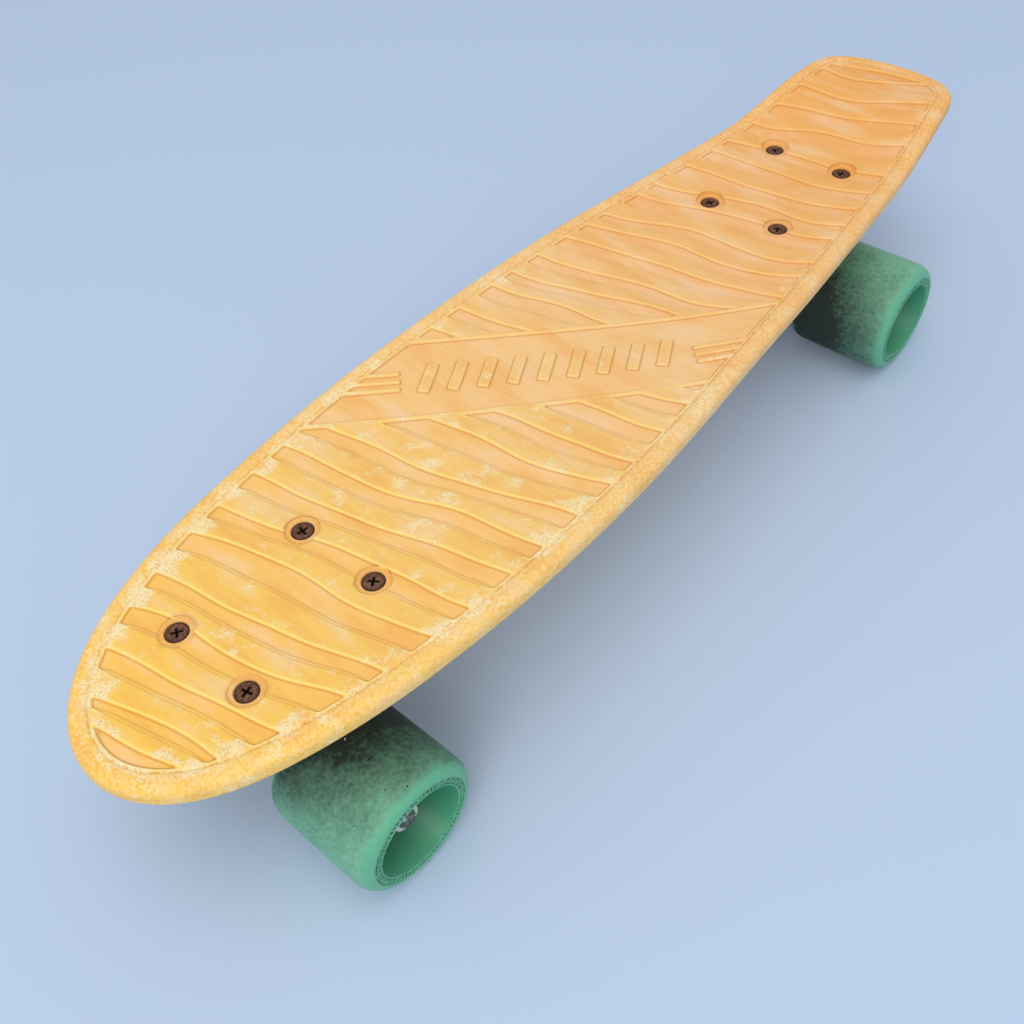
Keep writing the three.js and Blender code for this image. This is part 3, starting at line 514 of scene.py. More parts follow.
def rounded_rectangle(length, width, corner, steps=8):
    """The outline of a plate with round corners, run anticlockwise."""
    points = []
    for quarter, (x, y) in enumerate([(1, 1), (-1, 1), (-1, -1), (1, -1)]):
        centre_x = x * (length / 2 - corner)
        centre_y = y * (width / 2 - corner)
        for step in range(steps + 1):
            angle = (quarter + step / steps) * math.pi / 2
            points.append((centre_x + corner * math.cos(angle), centre_y + corner * math.sin(angle)))
    return points


def extruded(plan, low, high, place=Matrix()):
    """A plan outline raised from one height to another."""
    count = len(plan)
    points = [(x, y, low) for x, y in plan] + [(x, y, high) for x, y in plan]
    faces = [list(range(count - 1, -1, -1)), list(range(count, 2 * count))]
    faces += [[i, (i + 1) % count, count + (i + 1) % count, count + i] for i in range(count)]
    return shape(points, faces, place)


def under_structure():
    """Ribs and truck pads under the skin, as one body."""
    parts = []
    stations = np.linspace(tail_x + long_rib_inset, nose_x - long_rib_inset, rib_runs)
    for side in (-1, 1):
        parts.append(under_rib([(x, side * under_rib_spread) for x in stations]))
    first = math.ceil((tail_x + long_rib_inset - middle_x) / under_rib_pitch)
    last = math.floor((nose_x - long_rib_inset - middle_x) / under_rib_pitch)
    for i in range(first, last + 1):
        x = middle_x + i * under_rib_pitch
        reach = np.interp(x, outline[::-1, 0], outline[::-1, 1]) - cross_rib_gap
        parts.append(under_rib([(x, reach * share) for share in np.linspace(-1, 1, cross_rib_runs)]))
    pad_length = plate_length + 2 * pad_margin
    plan = rounded_rectangle(pad_length, plate_width + 2 * pad_margin, pad_corner)
    for x in (front_x, rear_x):
        top = min(field_at(x + end * pad_length / 2, 0) for end in (-1, 1)) - rib_bond
        parts.append(extruded(plan, mount_z + fit_gap, top, Matrix.Translation((x, 0, 0))))
    return combined(parts[0], parts[1:], "UNION")


def turned(profile, sides, place=Matrix(), closed=False):
    """A profile of radius and height pairs turned round Z. It starts and ends on the axis, or closes."""
    angles = 2 * np.pi * np.arange(sides) / sides
    ring_of = []
    points = []
    for radius, height in profile:
        count = 1 if radius == 0 else sides
        ring_of.append(len(points) + np.arange(sides) % count)
        for angle in angles[:count]:
            points.append((radius * math.cos(angle), radius * math.sin(angle), height))
    pairs = list(zip(ring_of, ring_of[1:]))
    if closed:
        pairs.append((ring_of[-1], ring_of[0]))
    faces = []
    for lower, upper in pairs:
        for i in range(sides):
            j = (i + 1) % sides
            face = [lower[i], lower[j], upper[j], upper[i]]
            faces.append([int(a) for a in dict.fromkeys(face)])
    return shape(points, faces, place)


def merged(parts):
    """Separate bodies put in one object, each with its own materials kept."""
    points = []
    faces = []
    slots = []
    materials = []
    for part in parts:
        mesh = part.data
        first = len(points)
        points += [tuple(vertex.co / metres_per_mm) for vertex in mesh.vertices]
        faces += [[first + i for i in polygon.vertices] for polygon in mesh.polygons]
        slots += [len(materials) + polygon.material_index for polygon in mesh.polygons]
        materials += list(mesh.materials)
        bpy.data.objects.remove(part)
    whole = shape(points, faces)
    for material in materials:
        whole.data.materials.append(material)
    if materials:
        whole.data.polygons.foreach_set("material_index", slots)
    return whole


bolt_radius = 2.4
bolt_head_radius = 4.8
bolt_head_height = 2.8
counterbore_radius = 7.2
counterbore_depth = 0.3
counterbore_bevel = 0.35
bolt_ends = [(end, number) for end in ("front", "rear") for number in (1, 2, 3, 4)]
bolt_head_z = field_z - counterbore_depth
round_sides = 64


def bolt_cutter(place):
    """Counterbore with a bevelled mouth, countersink and through hole for one deck bolt."""
    mouth = field_z + wave_height
    profile = [
        (0, mount_z - pad_thickness),
        (bolt_radius + fit_gap, mount_z - pad_thickness),
        (bolt_radius + fit_gap, bolt_head_z - bolt_head_height),
        (bolt_head_radius + fit_gap, bolt_head_z - fit_gap),
        (bolt_head_radius + fit_gap, bolt_head_z),
        (counterbore_radius - counterbore_bevel, bolt_head_z),
        (counterbore_radius, bolt_head_z + counterbore_bevel),
        (counterbore_radius, mouth - counterbore_bevel),
        (counterbore_radius + counterbore_bevel, mouth),
        (counterbore_radius + counterbore_bevel, mouth + pad_thickness),
        (0, mouth + pad_thickness),
    ]
    return turned(profile, round_sides, Matrix.Translation((place.x, place.y, 0)))


def coordinates(mesh):
    places = np.empty(3 * len(mesh.vertices))
    mesh.vertices.foreach_get("co", places)
    return places.reshape(-1, 3) / metres_per_mm


mark_slack = 0.1
fine_shade_line = 0.28
back_shade_line = 0.2
lip_highlight_line = 0.38
tail_lip_highlight = 0.3
panel_lip_highlight_loss = 0.5
lip_foot_shadow_strength = 0.65
back_edge_shade_strength = 0.5
tail_back_shade = 0.35
groove_inset = 8.2
groove_shade_strength = 0.45
bore_edge_shadow_strength = 0.5
band_wear = 0.1
edge_wear = 0.155
rear_edge_share = 0.5
edge_wear_inset = 11
edge_wear_reach = 10
stance_share = 0.53
stance_reach = 42
stance_wear = 0.11


def line_at(depth, centre, width):
    return np.exp(-(((depth - centre) / width) ** 2))


def store(body, **values):
    """Keeps numbers for each of a mesh's points, for its finish to read."""
    for name, value in values.items():
        attribute = body.data.attributes.new(name, "FLOAT", "POINT")
        attribute.data.foreach_set("value", np.asarray(value, np.float32))


def mark_surface(body):
    """Stores what the finish depends on: the relief's parts, painted lip highlights and painted shade lines,
    and how much each place is rubbed.
    """
    x, y, z = coordinates(body.data).T
    inset = inset_at(x, y)
    depth, _, sunk, rearness, beyond_panel = relief_at(x, y, inset)
    on_top = (z > field_at(x, y) - wave_height / 2) & (inset > patch_inset - mark_slack)
    raised = np.where(on_top, 1 - sunk, 1)
    fore = smooth((x - rear_x) / (front_x - rear_x))
    # Painted highlight along each lip's crest, weaker towards the tail and on the panel; partly pale wear as
    # well.
    lip = line_at(depth, -lip_highlight_line, lip_highlight_line) * (1 - rearness) * (tail_lip_highlight + (1 - tail_lip_highlight) * fore)
    lip *= 1 - panel_lip_highlight_loss * smooth(1 - beyond_panel / rib_width)
    # Painted shadow: a dark line at the foot of each lip's wall.
    foot = line_at(depth, lip_wall / 2 + mark_slack, fine_shade_line) * (1 - rearness)
    # Painted shade: two dark lines, at the top and at the foot of each band's low back step.
    back = line_at(depth, -wall_top, back_shade_line) + line_at(depth, back_wall - wall_top, back_shade_line)
    back *= rearness * (tail_back_shade + (1 - tail_back_shade) * fore)
    lines = (foot * lip_foot_shadow_strength + back * back_edge_shade_strength) * on_top
    # Painted shade: a dark line down in the rim's groove.
    groove_shade = line_at(inset, groove_inset, fine_shade_line) * (z > field_at(x, y)) * groove_shade_strength
    edge = smooth(1 - np.abs(inset - edge_wear_inset) / edge_wear_reach)
    stance = np.hypot(x - stance_share * front_x, y) / stance_reach
    wear = band_wear * fore + stance_wear * np.exp(-(stance**2))
    wear += edge_wear * edge * (rear_edge_share + (1 - rear_edge_share) * fore)
    to_bolts = np.full(len(x), deck_length)
    for end, number in bolt_ends:
        place = middle_of(f"{end}_deck_bolt_{number}")
        to_bolts = np.minimum(to_bolts, np.hypot(x - place.x, y - place.y))
    # Painted shadow: a dark ring round each counterbore's edge.
    ring = line_at(to_bolts, counterbore_radius, fine_shade_line) * on_top * bore_edge_shadow_strength
    in_bore = (to_bolts < counterbore_radius + counterbore_bevel) & (z < field_z - wave_height / 4)
    store(
        body,
        raised=raised,
        lip=lip * on_top,
        lines=lines + groove_shade + ring,
        panel=smooth(-beyond_panel / rib_width) * on_top,
        wear=wear * raised,
        bore=in_bore,
        rim=inset < patch_inset,
    )


def smooth_shaded(body, sharp_degrees=35):
    """Shades a body smooth, but for edges that turn by more than this angle."""
    body.data.shade_smooth()
    body.data.set_sharp_from_angle(angle=math.radians(sharp_degrees))
    return body


def colour(code):
    """An sRGB hex colour as the linear colour that a shader takes."""
    channels = [int(code[i:i + 2], 16) / 255 for i in (0, 2, 4)]
    linear = [c / 12.92 if c <= 0.04045 else ((c + 0.055) / 1.055) ** 2.4 for c in channels]
    return (*linear, 1)


def fill(tree, node, inputs):
    """Fills a node's inputs, by order or by name, each with a link or a value."""
    for name, value in inputs.items() if isinstance(inputs, dict) else enumerate(inputs):
        if isinstance(value, bpy.types.NodeSocket):
            tree.links.new(value, node.inputs[name])
        else:
            node.inputs[name].default_value = value


def put(tree, kind, inputs=(), **settings):
    """Adds a node with its settings and inputs, and gives its first output."""
    node = tree.nodes.new("ShaderNode" + kind)
    for name, value in settings.items():
        setattr(node, name, value)
    fill(tree, node, inputs)
    return node.outputs[0] if node.outputs else node


def new_finish(name, metallic=0.0, ior=1.5):
    """A material whose surface is still to be dressed, and the place that its patterns follow."""
    material = bpy.data.materials.new(name)
    material.use_nodes = True
    tree = material.node_tree
    tree.nodes.clear()
    surface = put(tree, "BsdfPrincipled", {"Metallic": metallic, "IOR": ior})
    put(tree, "OutputMaterial", {"Surface": surface})
    place = put(tree, "TexCoord").node.outputs["Object"]
    return material, tree, surface.node, place


def per_size(size):
    """A pattern's scale, for features of this size in millimetres."""
    return 1 / (size * metres_per_mm)


flow_line_size = 1.6
mould_cloud_size = 10
mould_grain_size = 1.3
scuff_patch_size = 9
scuff_fleck_size = 1.3
chalk_speck_size = 0.8
scuff_height = 0.06
band_tones = ["F5AC4F", "F8B868", "F6C37B", "F9C765", "FCC74B"]
pocket_tones = ["F4AA55", "F8B772", "F7C284", "F9C36B", "FBC24E"]


def moulded_polypropylene():
    """Amber polypropylene with a satin moulded skin, scuffed chalky where shoes and kerbs touch it; the lips
    carry a painted highlight and the steps painted shade lines.
    """
    material, tree, surface, place = new_finish("moulded_polypropylene", ior=1.49)
    names = ["raised", "lip", "lines", "panel", "wear", "bore", "rim"]
    marks = [put(tree, "Attribute", attribute_name=name) for name in names]
    raised, lip, lines, panel, wear, bore, rim = marks
    x = put(tree, "SeparateXYZ", [place])
    along = put(tree, "MapRange", [x, tail_x * metres_per_mm, nose_x * metres_per_mm])
    # The tones run from the tail to the nose; the paler yellow towards the nose is partly painted sheen.
    plain = []
    for tones in (pocket_tones, band_tones):
        ramp = put(tree, "ValToRGB", [along]).node
        stops = ramp.color_ramp.elements
        stops[0].color = colour(tones[0])
        stops[1].color = colour(tones[-1])
        for number in range(1, len(tones) - 1):
            stops.new(number / (len(tones) - 1)).color = colour(tones[number])
        plain.append(ramp.outputs["Color"])
    tone = put(tree, "MixRGB", [raised, *plain])

    # Flow lines from the mould run along the bands, drawn coarser than the real 0.3 mm to show.
    turn = (0, 0, math.atan(wave_skew / deck_width))
    slant = put(tree, "Mapping", {"Vector": place, "Rotation": turn, "Scale": (1, 0.05, 1)})
    flow = put(tree, "TexNoise", {"Vector": slant, "Scale": per_size(flow_line_size), "Detail": 4})
    drawn = put(tree, "Mapping", {"Vector": place, "Rotation": turn, "Scale": (1, 0.3, 1)})
    cloud = put(tree, "TexNoise", {"Vector": drawn, "Scale": per_size(mould_cloud_size), "Detail": 4})
    grain = put(tree, "TexNoise", {"Vector": place, "Scale": per_size(mould_grain_size), "Detail": 5,
                                   "Roughness": 0.7})
    pale = put(tree, "MapRange", [grain, 0.46, 0.62, 0, 0.6])
    dark = put(tree, "MapRange", [grain, 0.46, 0.34, 0, 0.4])
    coats = [
        (put(tree, "Math", [panel, 0.6], operation="MULTIPLY"), "F7C47C"),
        (put(tree, "MapRange", [cloud, 0.5, 0.68, 0, 0.5]), "F8D2A4"),
        (put(tree, "MapRange", [cloud, 0.48, 0.34, 0, 0.4]), "F2A64C"),
        (put(tree, "MapRange", [flow, 0.5, 0.7, 0, 0.2]), "EBA04E"),
        # Painted shade lines: at each lip's foot, along each band's back, in the rim's groove and round each
        # counterbore.
        (lines, "B8752E"),
        # Painted highlight on the lips, partly pale wear.
        (lip, "FEE47A"),
        (put(tree, "Math", [rim, pale], operation="MULTIPLY"), "F9DC9E"),
        (put(tree, "Math", [rim, dark], operation="MULTIPLY"), "D89A4C"),
        (put(tree, "Math", [bore, 0.5], operation="MULTIPLY"), "EBA65A"),
    ]
    for share, code in coats:
        tone = put(tree, "MixRGB", [share, tone, colour(code)])

    # Chalky scuffs: flecks of about 1 mm that crowd together in patches of 9 mm, with dirt in them.
    patches = put(tree, "TexNoise", {"Vector": place, "Scale": per_size(scuff_patch_size), "Detail": 3})
    flecks = put(tree, "TexNoise", {"Vector": place, "Scale": per_size(scuff_fleck_size), "Detail": 6,
                                    "Roughness": 0.75, "Distortion": 0.6})
    specks = put(tree, "TexNoise", {"Vector": place, "Scale": per_size(chalk_speck_size)})
    rubbed = put(tree, "Math", [flecks, 0.65, wear], operation="MULTIPLY_ADD")
    rubbed = put(tree, "Math", [patches, 0.75, rubbed], operation="MULTIPLY_ADD")
    scuff = put(tree, "MapRange", [rubbed, 0.87, 0.98, 0, 0.8])
    dirty = put(tree, "MapRange", [specks, 0.52, 0.66])
    chalk = put(tree, "MixRGB", [dirty, colour("F9E6B4"), colour("DDB476")])
    tone = put(tree, "MixRGB", [scuff, tone, chalk])
    rough = put(tree, "MapRange", [scuff, 0, 1, 0.5, 0.75])
    bump = put(tree, "Bump", {"Height": flecks, "Strength": 0.3, "Distance": scuff_height * metres_per_mm})
    fill(tree, surface, {"Base Color": tone, "Roughness": rough, "Normal": bump})
    return material


def finished(body, name, rides_on, nodes, finish):
    """Names a piece, dresses it, rides it on its body and stands it in for its frame nodes."""
    body.name = name
    body.data.name = name
    if finish is not None:
        body.data.materials.clear()
        body.data.materials.append(finish)
    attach(body, rides_on)
    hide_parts(*nodes)


deck = combined(deck_shell(), [under_structure()], "UNION")
cutters = [bolt_cutter(middle_of(f"{end}_deck_bolt_{number}")) for end, number in bolt_ends]
deck = combined(deck, [merged(cutters)], "DIFFERENCE")
mark_surface(deck)
smooth_shaded(deck, sharp_degrees=38)
finished(deck, "moulded_deck", "board", ["deck"], moulded_polypropylene())


# Deck bolts
# Eight countersunk machine screws with cross recesses, cold-headed from steel. Their plating has
# gone, so the heads are brown with rust, darker at the edge, and black down in the recesses.

bolt_length = 25
bolt_pitch = 0.8
thread_depth_share = 0.09
thread_steps = 4
recess_reach = 5.4
recess_width = 1.25
recess_depth = 2
recess_floor_share = 0.45
bolt_grip = 16
bolt_tip = 0.4
rod_sides = 32

# The head's rounded rim, by how far in and how deep each point is, and the fillet under the head, by
# how far out from the shank and how far above the head's underside.
head_rim = [(0, 0.45), (0.12, 0.2), (0.5, 0.04)]
head_fillet = [(0, -0.2), (0.25, 0.1)]

dirt_top = 0.2
dirt_full = 0.6
rust_blotch_size = 1.8
rust_pit_size = 0.5
rust_pit_depth = 0.1


def threaded_rod(radius, low, high, zones, pitch, tip, sides):
    """A rod with a real helical thread in each zone of its length and a small cone at each end."""
    heights = {low, low + tip, high - tip, high}
    for zone_low, zone_high in zones:
        heights |= set(np.arange(zone_low, zone_high, pitch / thread_steps).tolist())
    heights = np.array(sorted(heights))
    angles = 2 * np.pi * np.arange(sides) / sides
    turn = (heights[:, None] / pitch - angles / (2 * np.pi)) % 1
    threaded = sum((heights >= a) & (heights <= b) for a, b in zones)
    from_end = np.minimum(heights - low, high - heights)
    radii = radius - radius * thread_depth_share * np.abs(2 * turn - 1) * threaded[:, None]
    radii = radii - tip * np.clip(1 - from_end / tip, 0, 1)[:, None]
    x = radii * np.cos(angles)
    y = radii * np.sin(angles)
    z = np.broadcast_to(heights[:, None], x.shape)
    count = len(heights)
    faces = [list(range(sides - 1, -1, -1)), [(count - 1) * sides + i for i in range(sides)]]
    for ring in range(count - 1):
        for i in range(sides):
            a = ring * sides + i
            b = ring * sides + (i + 1) % sides
            faces.append([a, b, b + sides, a + sides])
    return shape(np.stack([x, y, z], -1).reshape(-1, 3), faces)


def wedge(length, width, depth, floor_share):
    """One pair of the recess's wings, which narrow towards the floor."""
    points = []
    for share, z in ((floor_share, -depth), (1 + floor_share / 4, depth / 4)):
        for x, y in ((-1, -1), (1, -1), (1, 1), (-1, 1)):
            points.append((x * share * length / 2, y * (share + 1) / 2 * width / 2, z))
    faces = [[3, 2, 1, 0], [4, 5, 6, 7], [0, 1, 5, 4], [1, 2, 6, 5], [2, 3, 7, 6], [3, 0, 4, 7]]
    return shape(points, faces)


def deck_bolt():
    """A countersunk bolt from its head's top down, with a cross cut in the head."""
    profile = [
        (0, -bolt_grip),
        (bolt_radius, -bolt_grip),
        *[(bolt_radius + out, rise - bolt_head_height) for out, rise in head_fillet],
        *[(bolt_head_radius - inset, -depth) for inset, depth in head_rim],
        (0, 0),
    ]
    body = turned(profile, round_sides)
    zones = [(-bolt_length, -bolt_grip)]
    thread = threaded_rod(bolt_radius - fit_gap / 3, -bolt_length, fit_gap - bolt_grip, zones, bolt_pitch,
                          bolt_tip, rod_sides)
    cross = [wedge(recess_reach, recess_width, recess_depth, recess_floor_share) for _ in range(2)]
    cross[1].data.transform(Matrix.Rotation(math.pi / 2, 4, "Z"))
    body = combined(body, cross, "DIFFERENCE")
    return smooth_shaded(combined(body, [thread], "UNION"))


def rusted_steel():
    """Bare carbon steel gone brown: matt, blotchy by 2 mm, black down in the cross recess."""
    material, tree, surface, place = new_finish("rusted_steel", metallic=0.3)
    shifted = put(tree, "VectorMath", [place, put(tree, "ObjectInfo").node.outputs["Random"]])
    blotch = put(tree, "TexNoise", {"Vector": shifted, "Scale": per_size(rust_blotch_size), "Detail": 5,
                                    "Roughness": 0.7})
    pits = put(tree, "TexNoise", {"Vector": shifted, "Scale": per_size(rust_pit_size), "Detail": 3})
    flat = put(tree, "VectorMath", [place, (1, 1, 0)], operation="MULTIPLY")
    radius = put(tree, "VectorMath", [flat], operation="LENGTH").node.outputs["Value"]
    z = put(tree, "SeparateXYZ", [place]).node.outputs["Z"]
    head = bolt_head_radius * metres_per_mm
    deep = put(tree, "MapRange", [z, -dirt_top * metres_per_mm, -dirt_full * metres_per_mm])
    near = put(tree, "MapRange", [radius, head * 0.75, head * 0.6])
    coats = [
        (put(tree, "MapRange", [blotch, 0.42, 0.6]), "8A5A3E"),
        (put(tree, "MapRange", [pits, 0.52, 0.72, 0, 0.7]), "2C1810"),
        (put(tree, "MapRange", [radius, head * 0.72, head * 0.95, 0, 0.85]), "2E1A12"),
        (put(tree, "Math", [deep, near], operation="MULTIPLY"), "060504"),
    ]
    tone = put(tree, "RGB").node.outputs["Color"]
    tone.default_value = colour("5E3522")
    for share, code in coats:
        tone = put(tree, "MixRGB", [share, tone, colour(code)])
    rough = put(tree, "MapRange", [pits, 0.3, 0.7, 0.5, 0.85])
    bump = put(tree, "Bump", {"Height": pits, "Strength": 0.6, "Distance": rust_pit_depth * metres_per_mm})
    fill(tree, surface, {"Base Color": tone, "Roughness": rough, "Normal": bump})
    return material


def scaled_place(place):
    """A place in millimetres as a matrix for a mesh that is already in metres."""
    moved = place.copy()
    moved.translation *= metres_per_mm
    return moved


def copy_of(body, place):
    """Another object with the same mesh, set at a place in millimetres."""
    made = bpy.data.objects.new("copy", body.data)
    bpy.context.scene.collection.objects.link(made)
    made.matrix_world = scaled_place(place)
    return made


def fit_to_bolt_holes(pattern, place, turns, piece_name, node_name, finish):
    """Sets one copy of a piece at each deck bolt, laid in its place and turned by its own angle."""
    for (end, number), degrees in zip(bolt_ends, turns):
        node = f"{end}_{node_name}_{number}"
        middle = middle_of(node)
        turn = Matrix.Rotation(math.radians(degrees), 4, "Z")
        made = copy_of(pattern, Matrix.Translation((middle.x, middle.y, 0)) @ place @ turn)
        finished(made, f"{end}_{piece_name}_{number}", "board", [node], finish)
    bpy.data.objects.remove(pattern)


bolt_turns = [12, 57, 33, 78, 21, 66, 5, 48]
fit_to_bolt_holes(deck_bolt(), Matrix.Translation((0, 0, bolt_head_z)), bolt_turns, "rusty_bolt",
                  "deck_bolt", rusted_steel())


# Baseplates
# Two aluminium castings that bolt under the pads. Each has a leaning boss for its kingpin, a
# housing for the pivot cup and a web between them, with the soft edges of a tumbled casting.

plate_thickness = 6
plate_corner = 9
web_depth = 9.5
web_width = 16
king_lean = math.radians(15)
king_foot = 2
king_radius = 4.7
king_head_depth = 3
king_head_height = 5.5
king_across = 14.3
king_boss_radius = 13.5
king_boss_depth = 16
pivot_reach = 29
pivot_drop = 16
pivot_ball_radius = 5
cup_wall = 2.2
cup_end = 7
cup_mouth = 4.5
housing_wall = 2.6
casting_voxel = 0.7
casting_rounds = 5
casting_cloud_size = 9
casting_grain_size = 0.6
casting_speck_size = 3
casting_grain_height = 0.12
pattern_width = 2 * abs(middle_of("front_deck_bolt_1").y)

truck_height = 50
axle_setback = 14.5
ring_thickness = 10
ring_radius = 15.5
ring_hole_radius = 6.4
washer_thickness = 1.5
board_bushing_height = 13
road_bushing_height = 11

king_down = Vector((-math.sin(king_lean), 0, -math.cos(king_lean)))
king_out = Vector((math.cos(king_lean), 0, -math.sin(king_lean)))
board_washer_start = king_boss_depth + fit_gap
board_bushing_start = board_washer_start + washer_thickness + fit_gap
ring_start = board_bushing_start + board_bushing_height + fit_gap
ring_end = ring_start + ring_thickness
road_bushing_start = ring_end + fit_gap
road_washer_start = road_bushing_start + road_bushing_height + fit_gap
road_washer_end = road_washer_start + washer_thickness
king_nut_start = road_washer_end + fit_gap


def king_place(depth, out):
    return Vector((king_foot, 0, 0)) + king_down * depth + king_out * out


ring_centre = king_place((ring_start + ring_end) / 2, 0)
pivot_place = Vector((pivot_reach, 0, -pivot_drop))
steer_axis = (pivot_place - ring_centre).normalized()
steer_up = Vector((-steer_axis.z, 0, steer_axis.x))


def laid_along(direction, place):
    """The matrix that lays something made along +Z in a direction of the side view."""
    turn = Matrix.Rotation(math.atan2(direction.x, direction.z), 4, "Y")
    return Matrix.Translation(place) @ turn


along_king = laid_along(king_down, king_place(0, 0))
along_pivot = laid_along(steer_axis, pivot_place)


def pivot_at(along, above):
    return pivot_place + steer_axis * along + steer_up * above


def rod(radius, low, high, place=Matrix(), sides=round_sides):
    return turned([(0, low), (radius, low), (radius, high), (0, high)], sides, place)


def hexagon(across):
    radius = across / 2 / math.cos(math.pi / 6)
    return [(radius * math.cos(i * math.pi / 3), radius * math.sin(i * math.pi / 3)) for i in range(6)]


def cast_skin(body):
    """Gives joined solids the melted inner corners and soft edges of a casting."""
    remesh = body.modifiers.new("skin", "REMESH")
    remesh.mode = "VOXEL"
    remesh.voxel_size = casting_voxel * metres_per_mm
    soften = body.modifiers.new("soften", "SMOOTH")
    soften.iterations = casting_rounds
    graph = bpy.context.evaluated_depsgraph_get()
    mesh = bpy.data.meshes.new_from_object(body.evaluated_get(graph))
    body.modifiers.clear()
    body.data = mesh
    return body


def baseplate():
    cup_radius = pivot_ball_radius + cup_wall + 2 * fit_gap
    plan = rounded_rectangle(plate_length, plate_width, plate_corner)
    plate = extruded(plan, -plate_thickness, 0)
    boss = rod(king_boss_radius, plate_thickness / 2, king_boss_depth, along_king)
    housing = rod(cup_radius + housing_wall, -cup_mouth, cup_end + housing_wall, along_pivot)
    half = web_width / 2
    web_plan = [(king_foot, -half), (pivot_reach, -half), (pivot_reach, half), (king_foot, half)]
    web = extruded(web_plan, -web_depth - plate_thickness / 2, -plate_thickness / 2)
    casting = cast_skin(combined(plate, [boss, housing, web], "UNION"))
    overrun = pad_thickness
    head_seat = king_head_depth + king_head_height
    cuts = [
        extruded(hexagon(king_across + 2 * fit_gap), -overrun, head_seat, along_king),
        rod(king_radius + fit_gap, -overrun, king_boss_depth + overrun, along_king),
        rod(cup_radius, -cup_mouth - overrun, cup_end + fit_gap, along_pivot),
        rod(king_boss_radius * 2, king_boss_depth, king_boss_depth + overrun, along_king),
    ]
    for x in (-1, 1):
        for y in (-1, 1):
            hole = Matrix.Translation((x * pattern_length / 2, y * pattern_width / 2, 0))
            cuts.append(rod(bolt_radius + fit_gap, -plate_thickness - overrun, overrun, hole, rod_sides))
    return smooth_shaded(combined(casting, cuts, "DIFFERENCE"))


def cast_aluminium():
    """Tumbled aluminium casting: grey, a little grainy, darker in its hollows, with specks of road dirt."""
    material, tree, surface, place = new_finish("cast_aluminium", metallic=1.0)
    cloud = put(tree, "TexNoise", {"Vector": place, "Scale": per_size(casting_cloud_size), "Detail": 4})
    grain = put(tree, "TexNoise", {"Vector": place, "Scale": per_size(casting_grain_size), "Detail": 3})
    speck = put(tree, "TexNoise", {"Vector": place, "Scale": per_size(casting_speck_size), "Detail": 5,
                                   "Roughness": 0.7})
    hollow = put(tree, "NewGeometry").node.outputs["Pointiness"]
    tarnish = put(tree, "MapRange", [cloud, 0.4, 0.65])
    tone = put(tree, "MixRGB", [tarnish, colour("A5A6A6"), colour("87898A")])
    in_hollows = put(tree, "MapRange", [hollow, 0.5, 0.44, 0, 0.7])
    in_specks = put(tree, "MapRange", [speck, 0.56, 0.7, 0, 0.5])
    for share in (in_hollows, in_specks):
        tone = put(tree, "MixRGB", [share, tone, colour("4A4742")])
    rough = put(tree, "MapRange", [grain, 0.3, 0.7, 0.38, 0.56])
    bump = put(tree, "Bump", {"Height": grain, "Strength": 0.4,
                              "Distance": casting_grain_height * metres_per_mm})
    fill(tree, surface, {"Base Color": tone, "Roughness": rough, "Normal": bump})
    return material


def truck_place(end):
    """The matrix from a truck's own frame, on its mounting face, to the board's."""
    if end == "front":
        return Matrix.Translation((front_x, 0, mount_z))
    return Matrix.Translation((rear_x, 0, mount_z)) @ Matrix.Rotation(math.pi, 4, "Z")


truck_ends = ["front", "rear"]


def fit_to_trucks(pattern, piece_name, body_name, node_name, finish):
    """Sets one copy of a truck piece in each truck."""
    for end in truck_ends:
        made = copy_of(pattern, truck_place(end))
        rides_on = body_name.format(end)
        finished(made, f"{end}_{piece_name}", rides_on, [f"{end}_{node_name}"], finish)
    bpy.data.objects.remove(pattern)


casting_finish = cast_aluminium()
fit_to_trucks(baseplate(), "cast_baseplate", "board", "baseplate", casting_finish)


# Lock nuts under the baseplates
# Eight hexagonal steel nuts, zinc plated, each with a round collar that holds a nylon ring.

lock_nut_across = 9.5
lock_nut_height = 5.5
collar_share = 0.3
collar_radius_share = 0.93
bevel_share = 0.6
nylon_wall = 0.9
nylon_depth = 1
nylon_sunk = 0.35
nylon_grip = 0.12
nut_sides = 96
hole_sides = 48
zinc_cloud_size = 4
zinc_speck_size = 1.3
zinc_speck_height = 0.05
nylon_cloud_size = 2

# The collar's rounded top edge, by how far in and how far down each point is.
collar_edge = [(0, 0.5), (0.2, 0.15), (0.6, 0)]


def lock_nut(across, height, hole):
    """A bevelled hexagon below a round collar, with the nylon ring let into the collar's mouth."""
    corner = across / 2 / math.cos(math.pi / 6)
    hexagon_height = height * (1 - collar_share)
    bevel = (corner - across / 2) * bevel_share
    body = extruded(hexagon(across), 0, hexagon_height)
    outline_profile = [
        (0, 0),
        (across / 2, 0),
        (corner, bevel),
        (corner, hexagon_height - bevel),
        (across / 2, hexagon_height),
        (0, hexagon_height),
    ]
    body = combined(body, [turned(outline_profile, nut_sides)], "INTERSECT")
    collar_radius = across / 2 * collar_radius_share
    collar_profile = [
        (0, hexagon_height / 2),
        (collar_radius, hexagon_height / 2),
        *[(collar_radius - inset, height - depth) for inset, depth in collar_edge],
        (0, height),
    ]
    body = combined(body, [turned(collar_profile, round_sides)], "UNION")
    mouth = rod(hole + nylon_wall, height - nylon_depth, height + nylon_depth, sides=hole_sides)
    through_hole = rod(hole, -height, 2 * height, sides=hole_sides)
    body = combined(body, [through_hole, mouth], "DIFFERENCE")
    body.data.materials.append(zinc)
    ring_profile = [
        (hole - nylon_grip, height - nylon_depth),
        (hole + nylon_wall, height - nylon_depth),
        (hole + nylon_wall, height - nylon_sunk),
        (hole - nylon_grip, height - nylon_sunk),
    ]
    ring = turned(ring_profile, hole_sides, closed=True)
    ring.data.materials.append(nylon)
    return smooth_shaded(merged([body, ring]), sharp_degrees=30)


